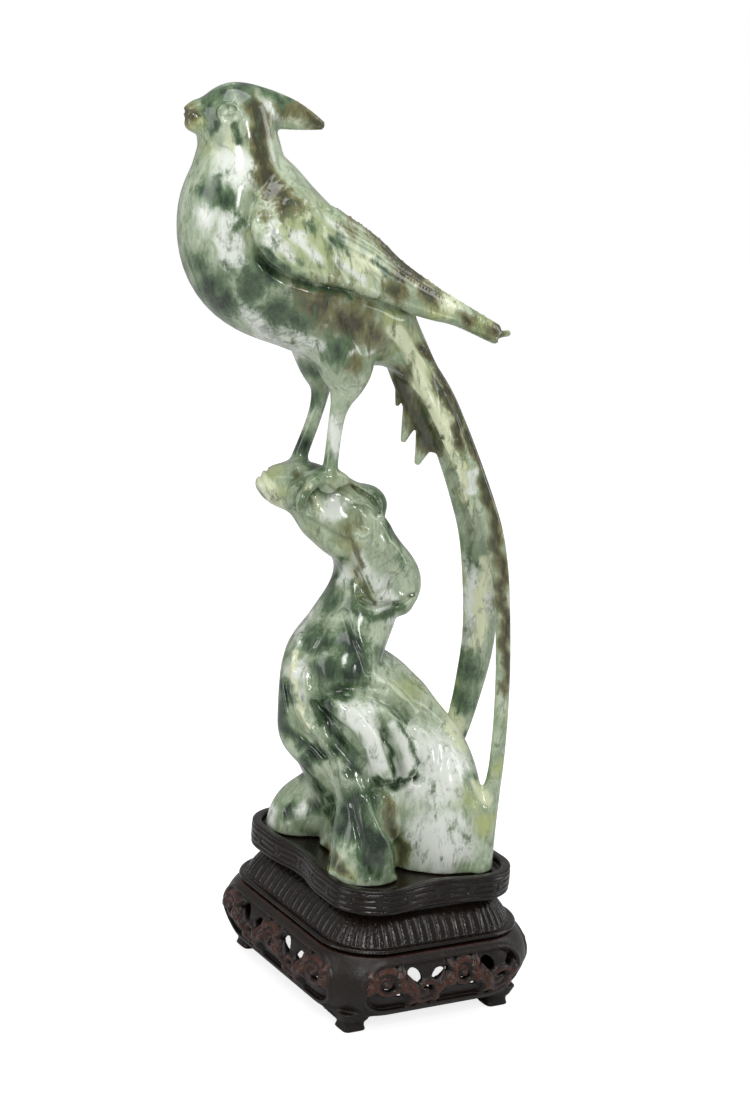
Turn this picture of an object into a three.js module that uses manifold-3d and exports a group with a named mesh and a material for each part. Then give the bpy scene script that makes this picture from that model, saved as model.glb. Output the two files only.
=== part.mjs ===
// A long-tailed bird on a rock, carved as one jade piece, on its carved wooden stand.
// Millimetres, +Z up, the bird faces -X. The finished group is centred over the origin with its feet on Z = 0.
import * as THREE from "three";
import { mergeVertices } from "three/addons/utils/BufferGeometryUtils.js";
import Module from "manifold-3d";

const wasm = await Module();
wasm.setup();

// Stand sizes: the bead is the line the whole stand is measured from
const BEAD_LENGTH_X = 88;
const BEAD_LENGTH_Y = 107;
const BEAD_CORNER_RADIUS = 21.5;
const BEAD_HEIGHT = 34;
const BEAD_RADIUS = 1.3;
const FOOT_HEIGHT = 7;
const FOOT_WIDTH = 13;
const FOOT_INSET = 3.5;
const FOOT_TAPER = 0.8;
const RAIL_HEIGHT = 4;
const BELT_BULGE = 7.5;
const BELT_TUCK = 1.5;
const BELT_WALL = 4.5;
const BELT_TOP = 31.5;
const POST_WIDTH = 13;
const PANEL_CORNER = 7;
const SHOULDER_TOP = 47;
const SHOULDER_INSET = 11;
const PETAL_COUNT = 44;
const PETAL_DEPTH = 0.9;
const TRAY_BOTTOM = 49.5;
const TRAY_TOP = 60;
const TRAY_GROW = -2.6;
const TRAY_DIP = 3;
const TRAY_RIM = 4.2;
const TRAY_WELL_DEPTH = 3;
const TRAY_WELL_DRAFT = 1;
const WELL_OVERCUT = 1;
const TRAY_GROOVES = 2;
const TRAY_GROOVE_DEPTH = 0.6;
const SCROLL_RADIUS = 1.7;
const SCROLL_STAND_OUT = 0.6;
const LONG_SIDE_BENDS = 5;
const SHORT_SIDE_BENDS = 4;
const CURL_RADIUS = 5.6;
const CURL_TURN = 6.6;
const VINE_SIDES = 4;

// Fit between the carving and the well it rests in
const REST_GAP = 0.3;
const FIGURE_BASE = TRAY_TOP - TRAY_WELL_DEPTH + REST_GAP;

// Where the carving stands in the tray, seen from the tray's middle
const CARVING_SHIFT_X = -1.5;
const CARVING_SHIFT_Y = 5;

// Bird placing on the rock: it is turned a little from the rock, and stands toward its front
const BIRD_TURN_DEGREES = -12.6;
const BIRD_SHIFT_Y = -13.5;

// Round-ness of the skins
const BODY_SIDES = 16;
const WING_SIDES = 12;
const ROCK_SIDES = 14;
const LIMB_SIDES = 8;
const BLADE_SIDES = 5;
const FOOT_SIDES = 12;
const STAND_SIDES = 44;
const TRAY_SIDES = 52;
const RINGS_PER_STATION = 2;

// Eyes and toes
const EYE = { forward: 0.4, up: 0.6, sink: 0.4, ring: 3.1, ringTube: 0.8, bead: 2.1, turnDegrees: 24 };
const TOE_LENGTH = 13;
const TOE_RADIUS = 2.4;
const TOE_SPREAD_DEGREES = 26;
const TOE_DROP = 5;
const FOOT_RISE = 1.5;
const CLAW_LENGTH = 4;

// Wing feathers, laid over each other along the wing
const WING_LEAN_DEGREES = -30;
const FEATHERS_PER_WING = 4;
const FEATHER_RELIEF = 1.5;

// Each limb is a row of stations [x, y, z, half size across, half size sideways] in the bird's own frame
const TORSO = [
  [-86, 0, 366.5, 11, 9.5],
  [-83.5, 0, 358, 14.8, 13.6],
  [-82, 0, 345, 15.8, 14.6],
  [-80.8, 0, 333, 19.4, 18.5],
  [-77.5, 0, 320, 26.8, 24],
  [-69.5, 0, 306.5, 30.6, 26.5],
  [-52.5, 0, 296.3, 27.6, 26],
  [-34, 0, 286.5, 23.3, 22],
  [-16.5, 0, 275.5, 12.5, 12],
  [-4, 0, 264, 7, 7],
];
const CREST = [
  [-84, 0, 359.5, 7.5, 7],
  [-76, 0, 361.8, 7.2, 6.2],
  [-64, 0, 359, 6, 4.4],
  [-56, 0, 357, 3.9, 2.8],
  [-49.5, 0, 355.2, 1.9, 1.5],
];
const BEAK_UPPER = [
  [-94, 0, 359.5, 5, 6.5],
  [-99.5, 0, 360.3, 3.3, 4.5],
  [-104, 0, 360, 1.6, 2.4],
];
const BEAK_LOWER = [
  [-93, 0, 354.5, 4.5, 6],
  [-99, 0, 354.6, 3, 4.6],
  [-103.5, 0, 354.8, 2, 3.2],
];
const NEAR_LEG = [
  [-39, -10, 276, 13, 13],
  [-37.5, -12, 266.5, 11, 11],
  [-36.5, -12, 259, 7.2, 8],
  [-38, -12, 251.5, 4.2, 4.6],
  [-39.5, -12, 243, 3, 3.2],
  [-40.5, -12, 226, 2.9, 3.2],
  [-41, -12, 219, 4.5, 4.5],
];
const FAR_LEG = [
  [-42, 10, 274, 13, 13],
  [-40.5, 12, 262, 8.5, 10],
  [-39.5, 12, 253, 4.2, 6],
  [-40, 12, 245.5, 3, 4],
  [-42, 12, 237, 2.8, 3.1],
  [-46, 12, 224, 3.2, 3.2],
  [-47, 12, 216, 5, 5],
];
const WING = [
  [-78.1, -21, 327.3, 8.5, 3],
  [-73.9, -23, 325, 16, 4.4],
  [-63.5, -24, 316.8, 18.6, 5],
  [-49.7, -21.5, 311.9, 16.5, 5],
  [-34.3, -17.5, 305.4, 13.8, 4.8],
  [-20.9, -14, 298.3, 10.4, 4.4],
  [-3.6, -10.5, 290.7, 7.2, 3.6],
  [8.6, -8, 286.1, 5.2, 2.9],
  [25, -7, 278.6, 4.2, 2.3],
];
const WING_TIP_STUB = [
  [20, -7, 280, 2, 1.6],
  [25, -7, 278, 1.5, 1.4],
  [30.5, -7, 278.6, 1.3, 1.2],
];
const NEAR_TAIL = [
  [-19, -2, 278, 8, 8],
  [-2.5, -6, 261, 6.2, 5],
  [9.5, -8, 243.5, 5.2, 3.6],
  [27, -10, 206.5, 4.6, 3],
  [33.5, -11, 187, 3.8, 3],
  [37, -12, 166, 3.2, 3],
  [39.3, -13.5, 137, 3, 3],
  [39.7, -14.5, 108.5, 3, 3],
  [38.3, -15, 89.5, 3.6, 3.6],
  [34, -15, 70, 7, 8],
  [31, -17, 52, 9, 11],
];
const FAR_TAIL = [
  [-17, 3, 277, 8, 8],
  [3.5, 6, 255, 7, 5],
  [15, 9, 232, 6.5, 4],
  [24, 11, 210.5, 6, 3.2],
  [31, 12.5, 190, 6, 3],
  [37, 14, 160, 7.2, 2.8],
  [37.8, 15, 140.5, 7.2, 2.8],
  [34.5, 17, 113, 5.8, 3],
  [29, 18, 92, 5.5, 4],
  [22, 16, 74, 8, 8],
];
const COMB = [
  [-13, 5, 272, 6, 4],
  [-4, 8, 256, 6.5, 3.6],
  [3.5, 9, 242, 6, 3.2],
  [9.5, 9.5, 229, 3, 2.4],
];
// Short pale feathers and the comb's teeth: root, tip, half width
const PALE_FEATHERS = [
  { root: [-19, -8, 277], bend: [-2, -11, 252], tip: [10.5, -11.5, 229], width: 4.2 },
  { root: [-12, -8, 272], bend: [8, -12, 236], tip: [16, -12, 215], width: 3.6 },
  { root: [-6, -7, 268], bend: [14, -11.5, 226], tip: [21.5, -12, 200], width: 3.6 },
];
const COMB_TEETH = [
  { root: [-7, 8, 264], bend: [-7, 9, 255], tip: [-7.8, 9, 246], width: 3 },
  { root: [-1, 9, 251], bend: [-3, 10, 242], tip: [-5.8, 10, 234.5], width: 3.6 },
  { root: [6, 9.5, 240], bend: [4.5, 10, 230], tip: [1, 10, 221], width: 3.8 },
];

// The rock, in the frame of the carving
const STALK = [
  [-38.5, -4, 217.5, 14, 12],
  [-35.5, -5, 211, 17, 16],
  [-27.5, -5, 201, 14.5, 17],
  [-20.5, -4, 190, 11, 16],
  [-15.5, -2, 178, 10, 15.5],
  [-14, -1, 165, 14.2, 17],
  [-21, -1, 150, 15.5, 21],
  [-26.5, -2, 139, 18, 24],
  [-21, -2, 127, 23.5, 26],
  [-10.5, -2, 112, 30, 29],
  [-2, -1, 94, 28.5, 32],
  [3.5, 0, 76, 26.5, 33],
  [5, 0, 52, 27, 34],
];
const PERCH = [
  [-30, -6, 210, 12, 12],
  [-42, 1, 212, 11, 12],
  [-52, 4, 213.5, 8.5, 10],
  [-58, 5, 214, 4.5, 6],
];
const TONGUE = [
  [-32, -12, 210.5, 10.5, 11],
  [-24.5, -13, 198, 12.4, 13],
  [-14.5, -13, 186, 12.4, 13],
  [-7.5, -12, 176, 11.8, 12.5],
  [-4.5, -10, 168.5, 8, 10],
];
const FLAP = [
  [-37.5, 3, 147, 4, 6],
  [-41.5, 2, 136, 4, 7],
  [-42.5, 1, 121, 4.5, 7],
  [-40, 0, 108, 5.5, 7],
  [-29, -6, 98, 7, 9],
];
const LEFT_FOLD = [
  [-25, -14, 128, 12, 12],
  [-21, -19, 107.5, 12.5, 13.5],
  [-17.5, -24, 87, 12.5, 14.5],
  [-20, -29, 70, 14.5, 13.5],
  [-20.5, -30, 52, 16, 14],
];
const RIGHT_MOUND = [
  [6, -8, 117, 12.5, 15],
  [14, -17, 103, 15, 17.5],
  [16.5, -24, 83, 18, 18.5],
  [18, -26, 52, 18.5, 17.5],
];
const BACK_LOBE = [
  [-7, 6, 90, 9, 14],
  [-14, 18, 74, 10.5, 15],
  [-20, 26, 64, 12, 13.5],
  [-22, 28, 52, 12.5, 13],
];
const FINGER_LEFT = [
  [-40.5, -21, 128.5, 3, 5],
  [-36, -25, 128.3, 5, 7],
  [-29, -28.5, 123, 5.7, 8],
  [-23, -31, 113.5, 5, 8],
  [-17.5, -32, 103, 4, 7],
  [-13.5, -32, 97.5, 2.8, 5],
];
const FINGER_RIGHT = [
  [-33, -23, 129, 4, 6],
  [-23, -27, 127.5, 5.4, 8],
  [-13, -30, 121.5, 6.2, 8],
  [-7, -32, 111.5, 5.6, 8],
  [-4.5, -32, 100.5, 4.8, 7],
  [-4.5, -31, 95, 3, 5],
];
// The spoon-shaped hollow carved into the rock under the feet
const HOLLOW = { x: -9, y: -27.5, z: 177, length: 12.5, width: 8.5, depth: 6, tiltDegrees: 52 };

const rad = THREE.MathUtils.degToRad;

// A closed surface through rings of points; loop joins the last ring to the first instead of capping both
function skin(rings, loop = false) {
  const count = rings[0].length;
  const points = rings.flat();
  const faces = [];
  const spans = loop ? rings.length : rings.length - 1;
  for (let r = 0; r < spans; r++) {
    for (let i = 0; i < count; i++) {
      const a = r * count + i;
      const b = r * count + ((i + 1) % count);
      const c = ((r + 1) % rings.length) * count + i;
      const d = ((r + 1) % rings.length) * count + ((i + 1) % count);
      faces.push(a, b, d, a, d, c);
    }
  }
  if (!loop) {
    cap(points, faces, 0, count, true);
    cap(points, faces, rings.length - 1, count, false);
  }
  const geometry = new THREE.BufferGeometry();
  geometry.setAttribute("position", new THREE.Float32BufferAttribute(points.flat(), 3));
  geometry.setIndex(facingOut(points, faces));
  return geometry;
}

function cap(points, faces, ring, count, first) {
  const middle = [0, 0, 0];
  for (let i = 0; i < count; i++) {
    points[ring * count + i].forEach((v, k) => (middle[k] += v / count));
  }
  const centre = points.push(middle) - 1;
  for (let i = 0; i < count; i++) {
    const a = ring * count + i;
    const b = ring * count + ((i + 1) % count);
    faces.push(...(first ? [centre, b, a] : [centre, a, b]));
  }
}

function facingOut(points, faces) {
  let volume = 0;
  for (let i = 0; i < faces.length; i += 3) {
    const [a, b, c] = [0, 1, 2].map((k) => new THREE.Vector3(...points[faces[i + k]]));
    volume += a.dot(b.cross(c));
  }
  if (volume > 0) return faces;
  for (let i = 0; i < faces.length; i += 3) {
    [faces[i + 1], faces[i + 2]] = [faces[i + 2], faces[i + 1]];
  }
  return faces;
}

function solid(geometry) {
  const bare = new THREE.BufferGeometry();
  const source = geometry.index ? geometry.toNonIndexed() : geometry;
  bare.setAttribute("position", source.getAttribute("position"));
  const merged = mergeVertices(bare, 1e-4);
  return new wasm.Manifold(
    new wasm.Mesh({
      numProp: 3,
      vertProperties: merged.attributes.position.array,
      triVerts: new Uint32Array(merged.index.array),
    }),
  );
}

function meshOf(name, manifold, material) {
  const made = manifold.getMesh();
  const geometry = new THREE.BufferGeometry();
  geometry.setAttribute("position", new THREE.BufferAttribute(new Float32Array(made.vertProperties), 3));
  geometry.setIndex(new THREE.BufferAttribute(new Uint32Array(made.triVerts), 1));
  geometry.computeVertexNormals();
  const mesh = new THREE.Mesh(geometry, material);
  mesh.name = name;
  return mesh;
}

function joined(parts) {
  return wasm.Manifold.union(parts);
}

// The value between stations on a smooth curve through all of them
function between(stations, at) {
  const i = Math.min(Math.floor(at), stations.length - 2);
  const t = at - i;
  const p1 = stations[i];
  const p2 = stations[i + 1];
  const p0 = stations[i - 1] ?? p1.map((v, k) => 2 * v - p2[k]);
  const p3 = stations[i + 2] ?? p2.map((v, k) => 2 * v - p1[k]);
  return p1.map((v, k) => {
    const slope1 = (p2[k] - p0[k]) / 2;
    const slope2 = (p3[k] - v) / 2;
    const t2 = t * t;
    const t3 = t2 * t;
    return (
      (2 * t3 - 3 * t2 + 1) * v + (t3 - 2 * t2 + t) * slope1 + (3 * t2 - 2 * t3) * p2[k] + (t3 - t2) * slope2
    );
  });
}

// A limb with elliptical sections; lean turns each section about the limb
function limb(stations, sides, leanDegrees = 0, perStation = RINGS_PER_STATION) {
  const steps = (stations.length - 1) * perStation;
  const sideways = new THREE.Vector3(0, 1, 0);
  const rings = [];
  for (let s = 0; s <= steps; s++) {
    const at = s / perStation;
    const [x, y, z, across, lateral] = between(stations, at);
    const before = between(stations, Math.max(at - 0.05, 0));
    const after = between(stations, Math.min(at + 0.05, stations.length - 1));
    const along = new THREE.Vector3(after[0] - before[0], after[1] - before[1], after[2] - before[2]).normalize();
    const side = sideways.clone().cross(along).normalize();
    const flat = along.clone().cross(side);
    side.applyAxisAngle(along, rad(leanDegrees));
    flat.applyAxisAngle(along, rad(leanDegrees));
    const ring = [];
    for (let i = 0; i < sides; i++) {
      const angle = (2 * Math.PI * i) / sides;
      const u = Math.cos(angle) * across;
      const v = Math.sin(angle) * lateral;
      ring.push([x + side.x * u + flat.x * v, y + side.y * u + flat.y * v, z + side.z * u + flat.z * v]);
    }
    rings.push(ring);
  }
  return solid(skin(rings));
}

// A thin pointed feather or claw from root through bend to tip
function blade({ root, bend, tip, width }, thickness = 0.55) {
  const stations = [
    [...root, width, width * thickness],
    [...bend, width * 0.85, width * thickness * 0.8],
    [...tip, width * 0.18, width * 0.16],
  ];
  return limb(stations, BLADE_SIDES, 0, 3);
}

const mirrored = (stations) => stations.map(([x, y, z, ...rest]) => [x, -y, z, ...rest]);

// Feathers lie over the wing from its shoulder to staggered tips, each raised a little over the next
function wingFeathers() {
  const feathers = [];
  const lean = rad(WING_LEAN_DEGREES);
  for (let f = 0; f < FEATHERS_PER_WING; f++) {
    const share = f / (FEATHERS_PER_WING - 1);
    const start = 1.6 + 0.5 * share;
    const end = 4.6 + 2.3 * share;
    const stations = [];
    for (let s = 0; s <= 4; s++) {
      const at = start + ((end - start) * s) / 4;
      const [x, y, z, across, lateral] = between(WING, at);
      const offset = across * (0.78 - 1.45 * (1 - share));
      const out = lateral * 0.55 + FEATHER_RELIEF * 0.5;
      const half = across * 0.2 * Math.sin(Math.PI * (0.18 + (0.72 * s) / 4)) + 0.5;
      stations.push([
        x + offset * 0.42,
        y - out - offset * Math.sin(lean) * 0.62,
        z + offset * Math.cos(lean) * 0.86,
        half,
        FEATHER_RELIEF,
      ]);
    }
    feathers.push(stations);
  }
  return feathers;
}

function wing(flip) {
  const lean = flip ? -WING_LEAN_DEGREES : WING_LEAN_DEGREES;
  const side = (stations) => (flip ? mirrored(stations) : stations);
  const parts = [limb(side(WING), WING_SIDES, lean), limb(side(WING_TIP_STUB), BLADE_SIDES)];
  for (const feather of wingFeathers()) {
    parts.push(limb(side(feather), BLADE_SIDES, lean, 1));
  }
  return parts;
}

// An eye lies on the side of the head, at a share of the head's half length in front of its middle
function eye(side) {
  const [headX, , headZ, across, lateral] = TORSO[1];
  const x = headX - EYE.forward * across;
  const y = lateral * Math.sqrt(1 - EYE.forward ** 2) - EYE.sink;
  const ring = new THREE.TorusGeometry(EYE.ring, EYE.ringTube, 5, 12);
  const bead = new THREE.SphereGeometry(EYE.bead, 8, 6);
  const face = new THREE.Matrix4()
    .makeTranslation(x, side * y, headZ + EYE.up)
    .multiply(new THREE.Matrix4().makeRotationZ(side * rad(EYE.turnDegrees)))
    .multiply(new THREE.Matrix4().makeRotationX(Math.PI / 2));
  return [solid(ring.applyMatrix4(face)), solid(bead.applyMatrix4(face))];
}

// Three toes forward over the rock's edge and one behind, each ending in a claw
function foot(leg) {
  const [x, y, ankleZ] = leg.at(-1);
  const z = ankleZ + FOOT_RISE;
  const parts = [];
  for (const turn of [-TOE_SPREAD_DEGREES, 0, TOE_SPREAD_DEGREES, 180]) {
    const reach = turn === 180 ? TOE_LENGTH * 0.75 : TOE_LENGTH;
    const dx = -Math.cos(rad(turn));
    const dy = Math.sin(rad(turn));
    const knuckle = [x + dx * reach * 0.55, y + dy * reach * 0.55, z - TOE_DROP * 0.15];
    const end = [x + dx * reach, y + dy * reach, z - TOE_DROP];
    const claw = [x + dx * (reach + 1.5), y + dy * (reach + 1.5), z - TOE_DROP - CLAW_LENGTH];
    const toe = [
      [x, y, z, TOE_RADIUS, TOE_RADIUS],
      [...knuckle, TOE_RADIUS * 1.1, TOE_RADIUS * 1.1],
      [...end, TOE_RADIUS * 0.9, TOE_RADIUS * 0.9],
      [...claw, 0.7, 0.7],
    ];
    parts.push(limb(toe, BLADE_SIDES, 0, 1));
  }
  return parts;
}

function bird() {
  const parts = [
    limb(TORSO, BODY_SIDES),
    limb(CREST, LIMB_SIDES),
    limb(BEAK_UPPER, LIMB_SIDES),
    limb(BEAK_LOWER, LIMB_SIDES),
    limb(NEAR_LEG, LIMB_SIDES),
    limb(FAR_LEG, LIMB_SIDES),
    limb(NEAR_TAIL, LIMB_SIDES, 0, 1),
    limb(FAR_TAIL, LIMB_SIDES, 0, 1),
    limb(COMB, BLADE_SIDES, 0, 1),
    ...wing(false),
    ...wing(true),
    ...eye(-1),
    ...eye(1),
    ...PALE_FEATHERS.map((f) => blade(f)),
    ...COMB_TEETH.map((f) => blade(f)),
    ...foot(NEAR_LEG),
    ...foot(FAR_LEG),
  ];
  return joined(parts).rotate([0, 0, BIRD_TURN_DEGREES]).translate([0, BIRD_SHIFT_Y, 0]);
}

function rock() {
  const parts = [
    limb(STALK, ROCK_SIDES),
    limb(PERCH, LIMB_SIDES),
    limb(TONGUE, ROCK_SIDES),
    limb(FLAP, LIMB_SIDES),
    limb(LEFT_FOLD, ROCK_SIDES),
    limb(RIGHT_MOUND, ROCK_SIDES),
    limb(BACK_LOBE, ROCK_SIDES),
    limb(FINGER_LEFT, LIMB_SIDES),
    limb(FINGER_RIGHT, LIMB_SIDES),
  ];
  const hollow = new THREE.SphereGeometry(1, 20, 12);
  hollow.applyMatrix4(
    new THREE.Matrix4()
      .makeTranslation(HOLLOW.x, HOLLOW.y, HOLLOW.z)
      .multiply(new THREE.Matrix4().makeRotationY(rad(HOLLOW.tiltDegrees)))
      .multiply(new THREE.Matrix4().makeScale(HOLLOW.length, HOLLOW.depth, HOLLOW.width)),
  );
  return joined(parts).subtract(solid(hollow));
}

// What the carving may fill: the tray's well less the rest gap, and everything above the tray
function roomForCarving() {
  const size = 2 * TORSO[0][2];
  const above = new THREE.BoxGeometry(size, size, size);
  above.translate(0, 0, TRAY_TOP + REST_GAP + size / 2);
  return joined([solid(above), well(REST_GAP)]);
}

function carving() {
  const placed = joined([bird(), rock()]).translate([CARVING_SHIFT_X, CARVING_SHIFT_Y, 0]);
  return placed.intersect(roomForCarving()).trimByPlane([0, 0, 1], FIGURE_BASE);
}

// A point on the stand's rounded outline: share of the way round, and how far outside the bead line it is
function outlinePoint(share, grow) {
  const r = BEAD_CORNER_RADIUS;
  const halfX = BEAD_LENGTH_X / 2 - r;
  const halfY = BEAD_LENGTH_Y / 2 - r;
  const arc = (Math.PI / 2) * r;
  const lengths = [halfY, arc, 2 * halfX, arc, 2 * halfY, arc, 2 * halfX, arc, halfY];
  let left = (((share % 1) + 1) % 1) * lengths.reduce((a, b) => a + b);
  let k = 0;
  while (left > lengths[k]) left -= lengths[k++];
  const reach = r + grow;
  if (k === 0) return [halfX + reach, left];
  if (k === 2) return [halfX - left, halfY + reach];
  if (k === 4) return [-halfX - reach, halfY - left];
  if (k === 6) return [-halfX + left, -halfY - reach];
  if (k === 8) return [halfX + reach, -halfY + left];
  const corner = (k - 1) / 2;
  const angle = (Math.PI / 2) * corner + left / r;
  const cx = corner === 0 || corner === 3 ? halfX : -halfX;
  const cy = corner < 2 ? halfY : -halfY;
  return [cx + reach * Math.cos(angle), cy + reach * Math.sin(angle)];
}

const OUTLINE_LENGTH = 2 * (BEAD_LENGTH_X + BEAD_LENGTH_Y) - (8 - 2 * Math.PI) * BEAD_CORNER_RADIUS;

function ringAt(z, count, growAt) {
  return Array.from({ length: count }, (_, i) => [...outlinePoint(i / count, growAt(i / count)), z]);
}

// The belt bulges between its lower rail and the bead
function beltGrow(z) {
  const share = THREE.MathUtils.clamp((z - FOOT_HEIGHT) / (BEAD_HEIGHT - FOOT_HEIGHT), 0, 1);
  return BELT_BULGE * Math.sin(Math.PI * Math.pow(share, 1.1)) ** 0.8 - BELT_TUCK * (1 - share);
}

function belt() {
  const levels = 5;
  const outer = [];
  const inner = [];
  for (let i = 0; i <= levels; i++) {
    const z = FOOT_HEIGHT + ((BELT_TOP + 1 - FOOT_HEIGHT) * i) / levels;
    outer.push(ringAt(z, STAND_SIDES, () => beltGrow(z)));
    inner.unshift(ringAt(z, STAND_SIDES, () => beltGrow(z) - BELT_WALL));
  }
  return solid(skin([...outer, ...inner], true));
}

// A place on the belt: side 0..3, distance along it from the side's middle, height, distance out
function onBelt(side, along, z, out) {
  return [...outlinePoint(side / 4 + along / OUTLINE_LENGTH, beltGrow(z) + out), z];
}

function panelHalf(side) {
  const straight = (side % 2 ? BEAD_LENGTH_X : BEAD_LENGTH_Y) / 2 - BEAD_CORNER_RADIUS;
  return straight + (Math.PI / 4) * BEAD_CORNER_RADIUS - POST_WIDTH / 2;
}

// The rounded opening of one panel, as a cutter that follows the belt round its corners
function panelOpening(side) {
  const half = panelHalf(side);
  const low = FOOT_HEIGHT + RAIL_HEIGHT;
  const high = BELT_TOP - 1;
  const steps = 16;
  const rings = [];
  for (let i = 0; i <= steps; i++) {
    const along = -half * Math.cos((Math.PI * i) / steps);
    const past = Math.max(0, Math.abs(along) - (half - PANEL_CORNER));
    const rise = PANEL_CORNER - Math.sqrt(Math.max(PANEL_CORNER ** 2 - past ** 2, 0.01));
    const bottom = low + rise;
    const top = high - rise;
    rings.push([
      onBelt(side, along, bottom, -3 * BELT_WALL),
      onBelt(side, along, bottom, BELT_WALL),
      onBelt(side, along, top, BELT_WALL),
      onBelt(side, along, top, -3 * BELT_WALL),
    ]);
  }
  return solid(skin(rings));
}

// A bar of the vine that follows a path in the panel's own plane; path gives [along, height, thickness]
function vineBar(side, path, steps) {
  const rings = [];
  for (let s = 0; s <= steps; s++) {
    const [along, z, thick] = path(s / steps);
    const [nextAlong, nextZ] = path(s / steps + 0.01);
    const angle = Math.atan2(nextZ - z, nextAlong - along);
    const ring = [];
    for (let i = 0; i < VINE_SIDES; i++) {
      const turn = (2 * Math.PI * i) / VINE_SIDES;
      const across = thick * Math.cos(turn);
      const out = SCROLL_STAND_OUT - BELT_WALL / 2 + 1.3 * thick * Math.sin(turn);
      ring.push(onBelt(side, along - across * Math.sin(angle), z + across * Math.cos(angle), out));
    }
    rings.push(ring);
  }
  return solid(skin(rings));
}

// The vine: a stem that waves from post to post, with a curl hanging in each of its bends
function vine(side) {
  const parts = [];
  const half = panelHalf(side);
  const bends = side % 2 ? SHORT_SIDE_BENDS : LONG_SIDE_BENDS;
  const low = FOOT_HEIGHT + RAIL_HEIGHT;
  const high = BELT_TOP - 1;
  const middle = (low + high) / 2;
  const wave = (high - low) / 2 - SCROLL_RADIUS * 0.8;
  const stem = (t) => [
    (half + 3) * (2 * t - 1),
    middle + wave * Math.sin(Math.PI * bends * t),
    SCROLL_RADIUS,
  ];
  parts.push(vineBar(side, stem, bends * 5));
  for (let b = 0; b < bends; b++) {
    const up = b % 2 === 0 ? 1 : -1;
    const start = CURL_RADIUS;
    const along = (half + 3) * ((2 * b + 1) / bends - 1);
    const centre = middle + up * (wave - start);
    const curl = (t) => {
      const angle = up * (Math.PI / 2 - t * CURL_TURN);
      const radius = start * (1 - 0.62 * t);
      return [along + radius * Math.cos(angle), centre + radius * Math.sin(angle), SCROLL_RADIUS * (1 - 0.3 * t)];
    };
    parts.push(vineBar(side, curl, 7));
  }
  return parts;
}

function foot4() {
  const feet = [];
  const place = BEAD_CORNER_RADIUS * Math.SQRT1_2;
  for (const sx of [-1, 1]) {
    for (const sy of [-1, 1]) {
      const cx = sx * (BEAD_LENGTH_X / 2 - BEAD_CORNER_RADIUS + place - FOOT_INSET);
      const cy = sy * (BEAD_LENGTH_Y / 2 - BEAD_CORNER_RADIUS + place - FOOT_INSET);
      const rings = [
        [0, FOOT_TAPER],
        [FOOT_HEIGHT * 0.55, FOOT_TAPER * 0.92],
        [FOOT_HEIGHT, 1.05],
        [FOOT_HEIGHT + 2.5, 1.35],
      ].map(([z, size]) => squareRing(cx, cy, z, (FOOT_WIDTH / 2) * size));
      feet.push(solid(skin(rings)));
    }
  }
  return feet;
}

// A square with rounded corners
function squareRing(cx, cy, z, half) {
  const ring = [];
  for (let i = 0; i < FOOT_SIDES; i++) {
    const angle = (Math.PI * 2 * (i + 0.5)) / FOOT_SIDES;
    const c = Math.cos(angle);
    const s = Math.sin(angle);
    const reach = half / Math.pow(Math.abs(c) ** 5 + Math.abs(s) ** 5, 1 / 5);
    ring.push([cx + reach * c, cy + reach * s, z]);
  }
  return ring;
}

function shoulder() {
  const count = PETAL_COUNT * 2;
  const petal = (share) => Math.abs(Math.sin(Math.PI * PETAL_COUNT * share)) - 0.6;
  const rings = [
    ringAt(BELT_TOP - 0.5, count, () => beltGrow(BELT_TOP) - 0.5),
    ringAt(BEAD_HEIGHT, count, () => BEAD_RADIUS),
    ringAt(BEAD_HEIGHT + BEAD_RADIUS, count, () => -0.5),
    ringAt(BEAD_HEIGHT + BEAD_RADIUS + 0.2, count, (s) => -2 + PETAL_DEPTH * petal(s)),
    ringAt(BEAD_HEIGHT + 6.5, count, (s) => -4.2 + PETAL_DEPTH * petal(s)),
    ringAt(SHOULDER_TOP, count, (s) => -SHOULDER_INSET + 0.5 * PETAL_DEPTH * petal(s)),
    ringAt(TRAY_BOTTOM + 1, count, () => -SHOULDER_INSET - 0.5),
  ];
  return solid(skin(rings));
}

// The tray's outline dips in at the middle of each side
function trayGrow(share) {
  const quarter = ((((share * 4) % 1) + 1) % 1) - 0.5;
  const nearMiddle = Math.max(0, 1 - (0.5 - Math.abs(quarter)) / 0.24);
  return TRAY_GROW - TRAY_DIP * (0.5 - 0.5 * Math.cos(Math.PI * nearMiddle));
}

// The space inside the tray's rim, which widens upwards; gap makes it smaller all round
function well(gap) {
  const inside = (s) => trayGrow(s) - TRAY_RIM - gap;
  return solid(
    skin([
      ringAt(TRAY_TOP - TRAY_WELL_DEPTH, TRAY_SIDES, (s) => inside(s) - TRAY_WELL_DRAFT),
      ringAt(TRAY_TOP + WELL_OVERCUT, TRAY_SIDES, inside),
    ]),
  );
}

function tray() {
  const count = TRAY_SIDES;
  const profile = [[TRAY_BOTTOM, -1.6]];
  const first = TRAY_BOTTOM + 2;
  const pitch = (TRAY_TOP - 1.2 - first) / TRAY_GROOVES;
  profile.push([TRAY_BOTTOM + 0.9, 0]);
  for (let g = 0; g < TRAY_GROOVES; g++) {
    const z = first + pitch * (g + 0.5);
    profile.push([z - 0.5, 0], [z, -TRAY_GROOVE_DEPTH], [z + 0.5, 0]);
  }
  profile.push([TRAY_TOP - 0.8, 0], [TRAY_TOP, -0.9]);
  const body = solid(skin(profile.map(([z, grow]) => ringAt(z, count, (s) => trayGrow(s) + grow))));
  return body.subtract(well(0));
}

function stand() {
  const sides = [0, 1, 2, 3];
  const pierced = belt().subtract(joined(sides.map(panelOpening)));
  return joined([pierced, shoulder(), tray(), ...foot4(), ...sides.flatMap(vine)]);
}

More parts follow.
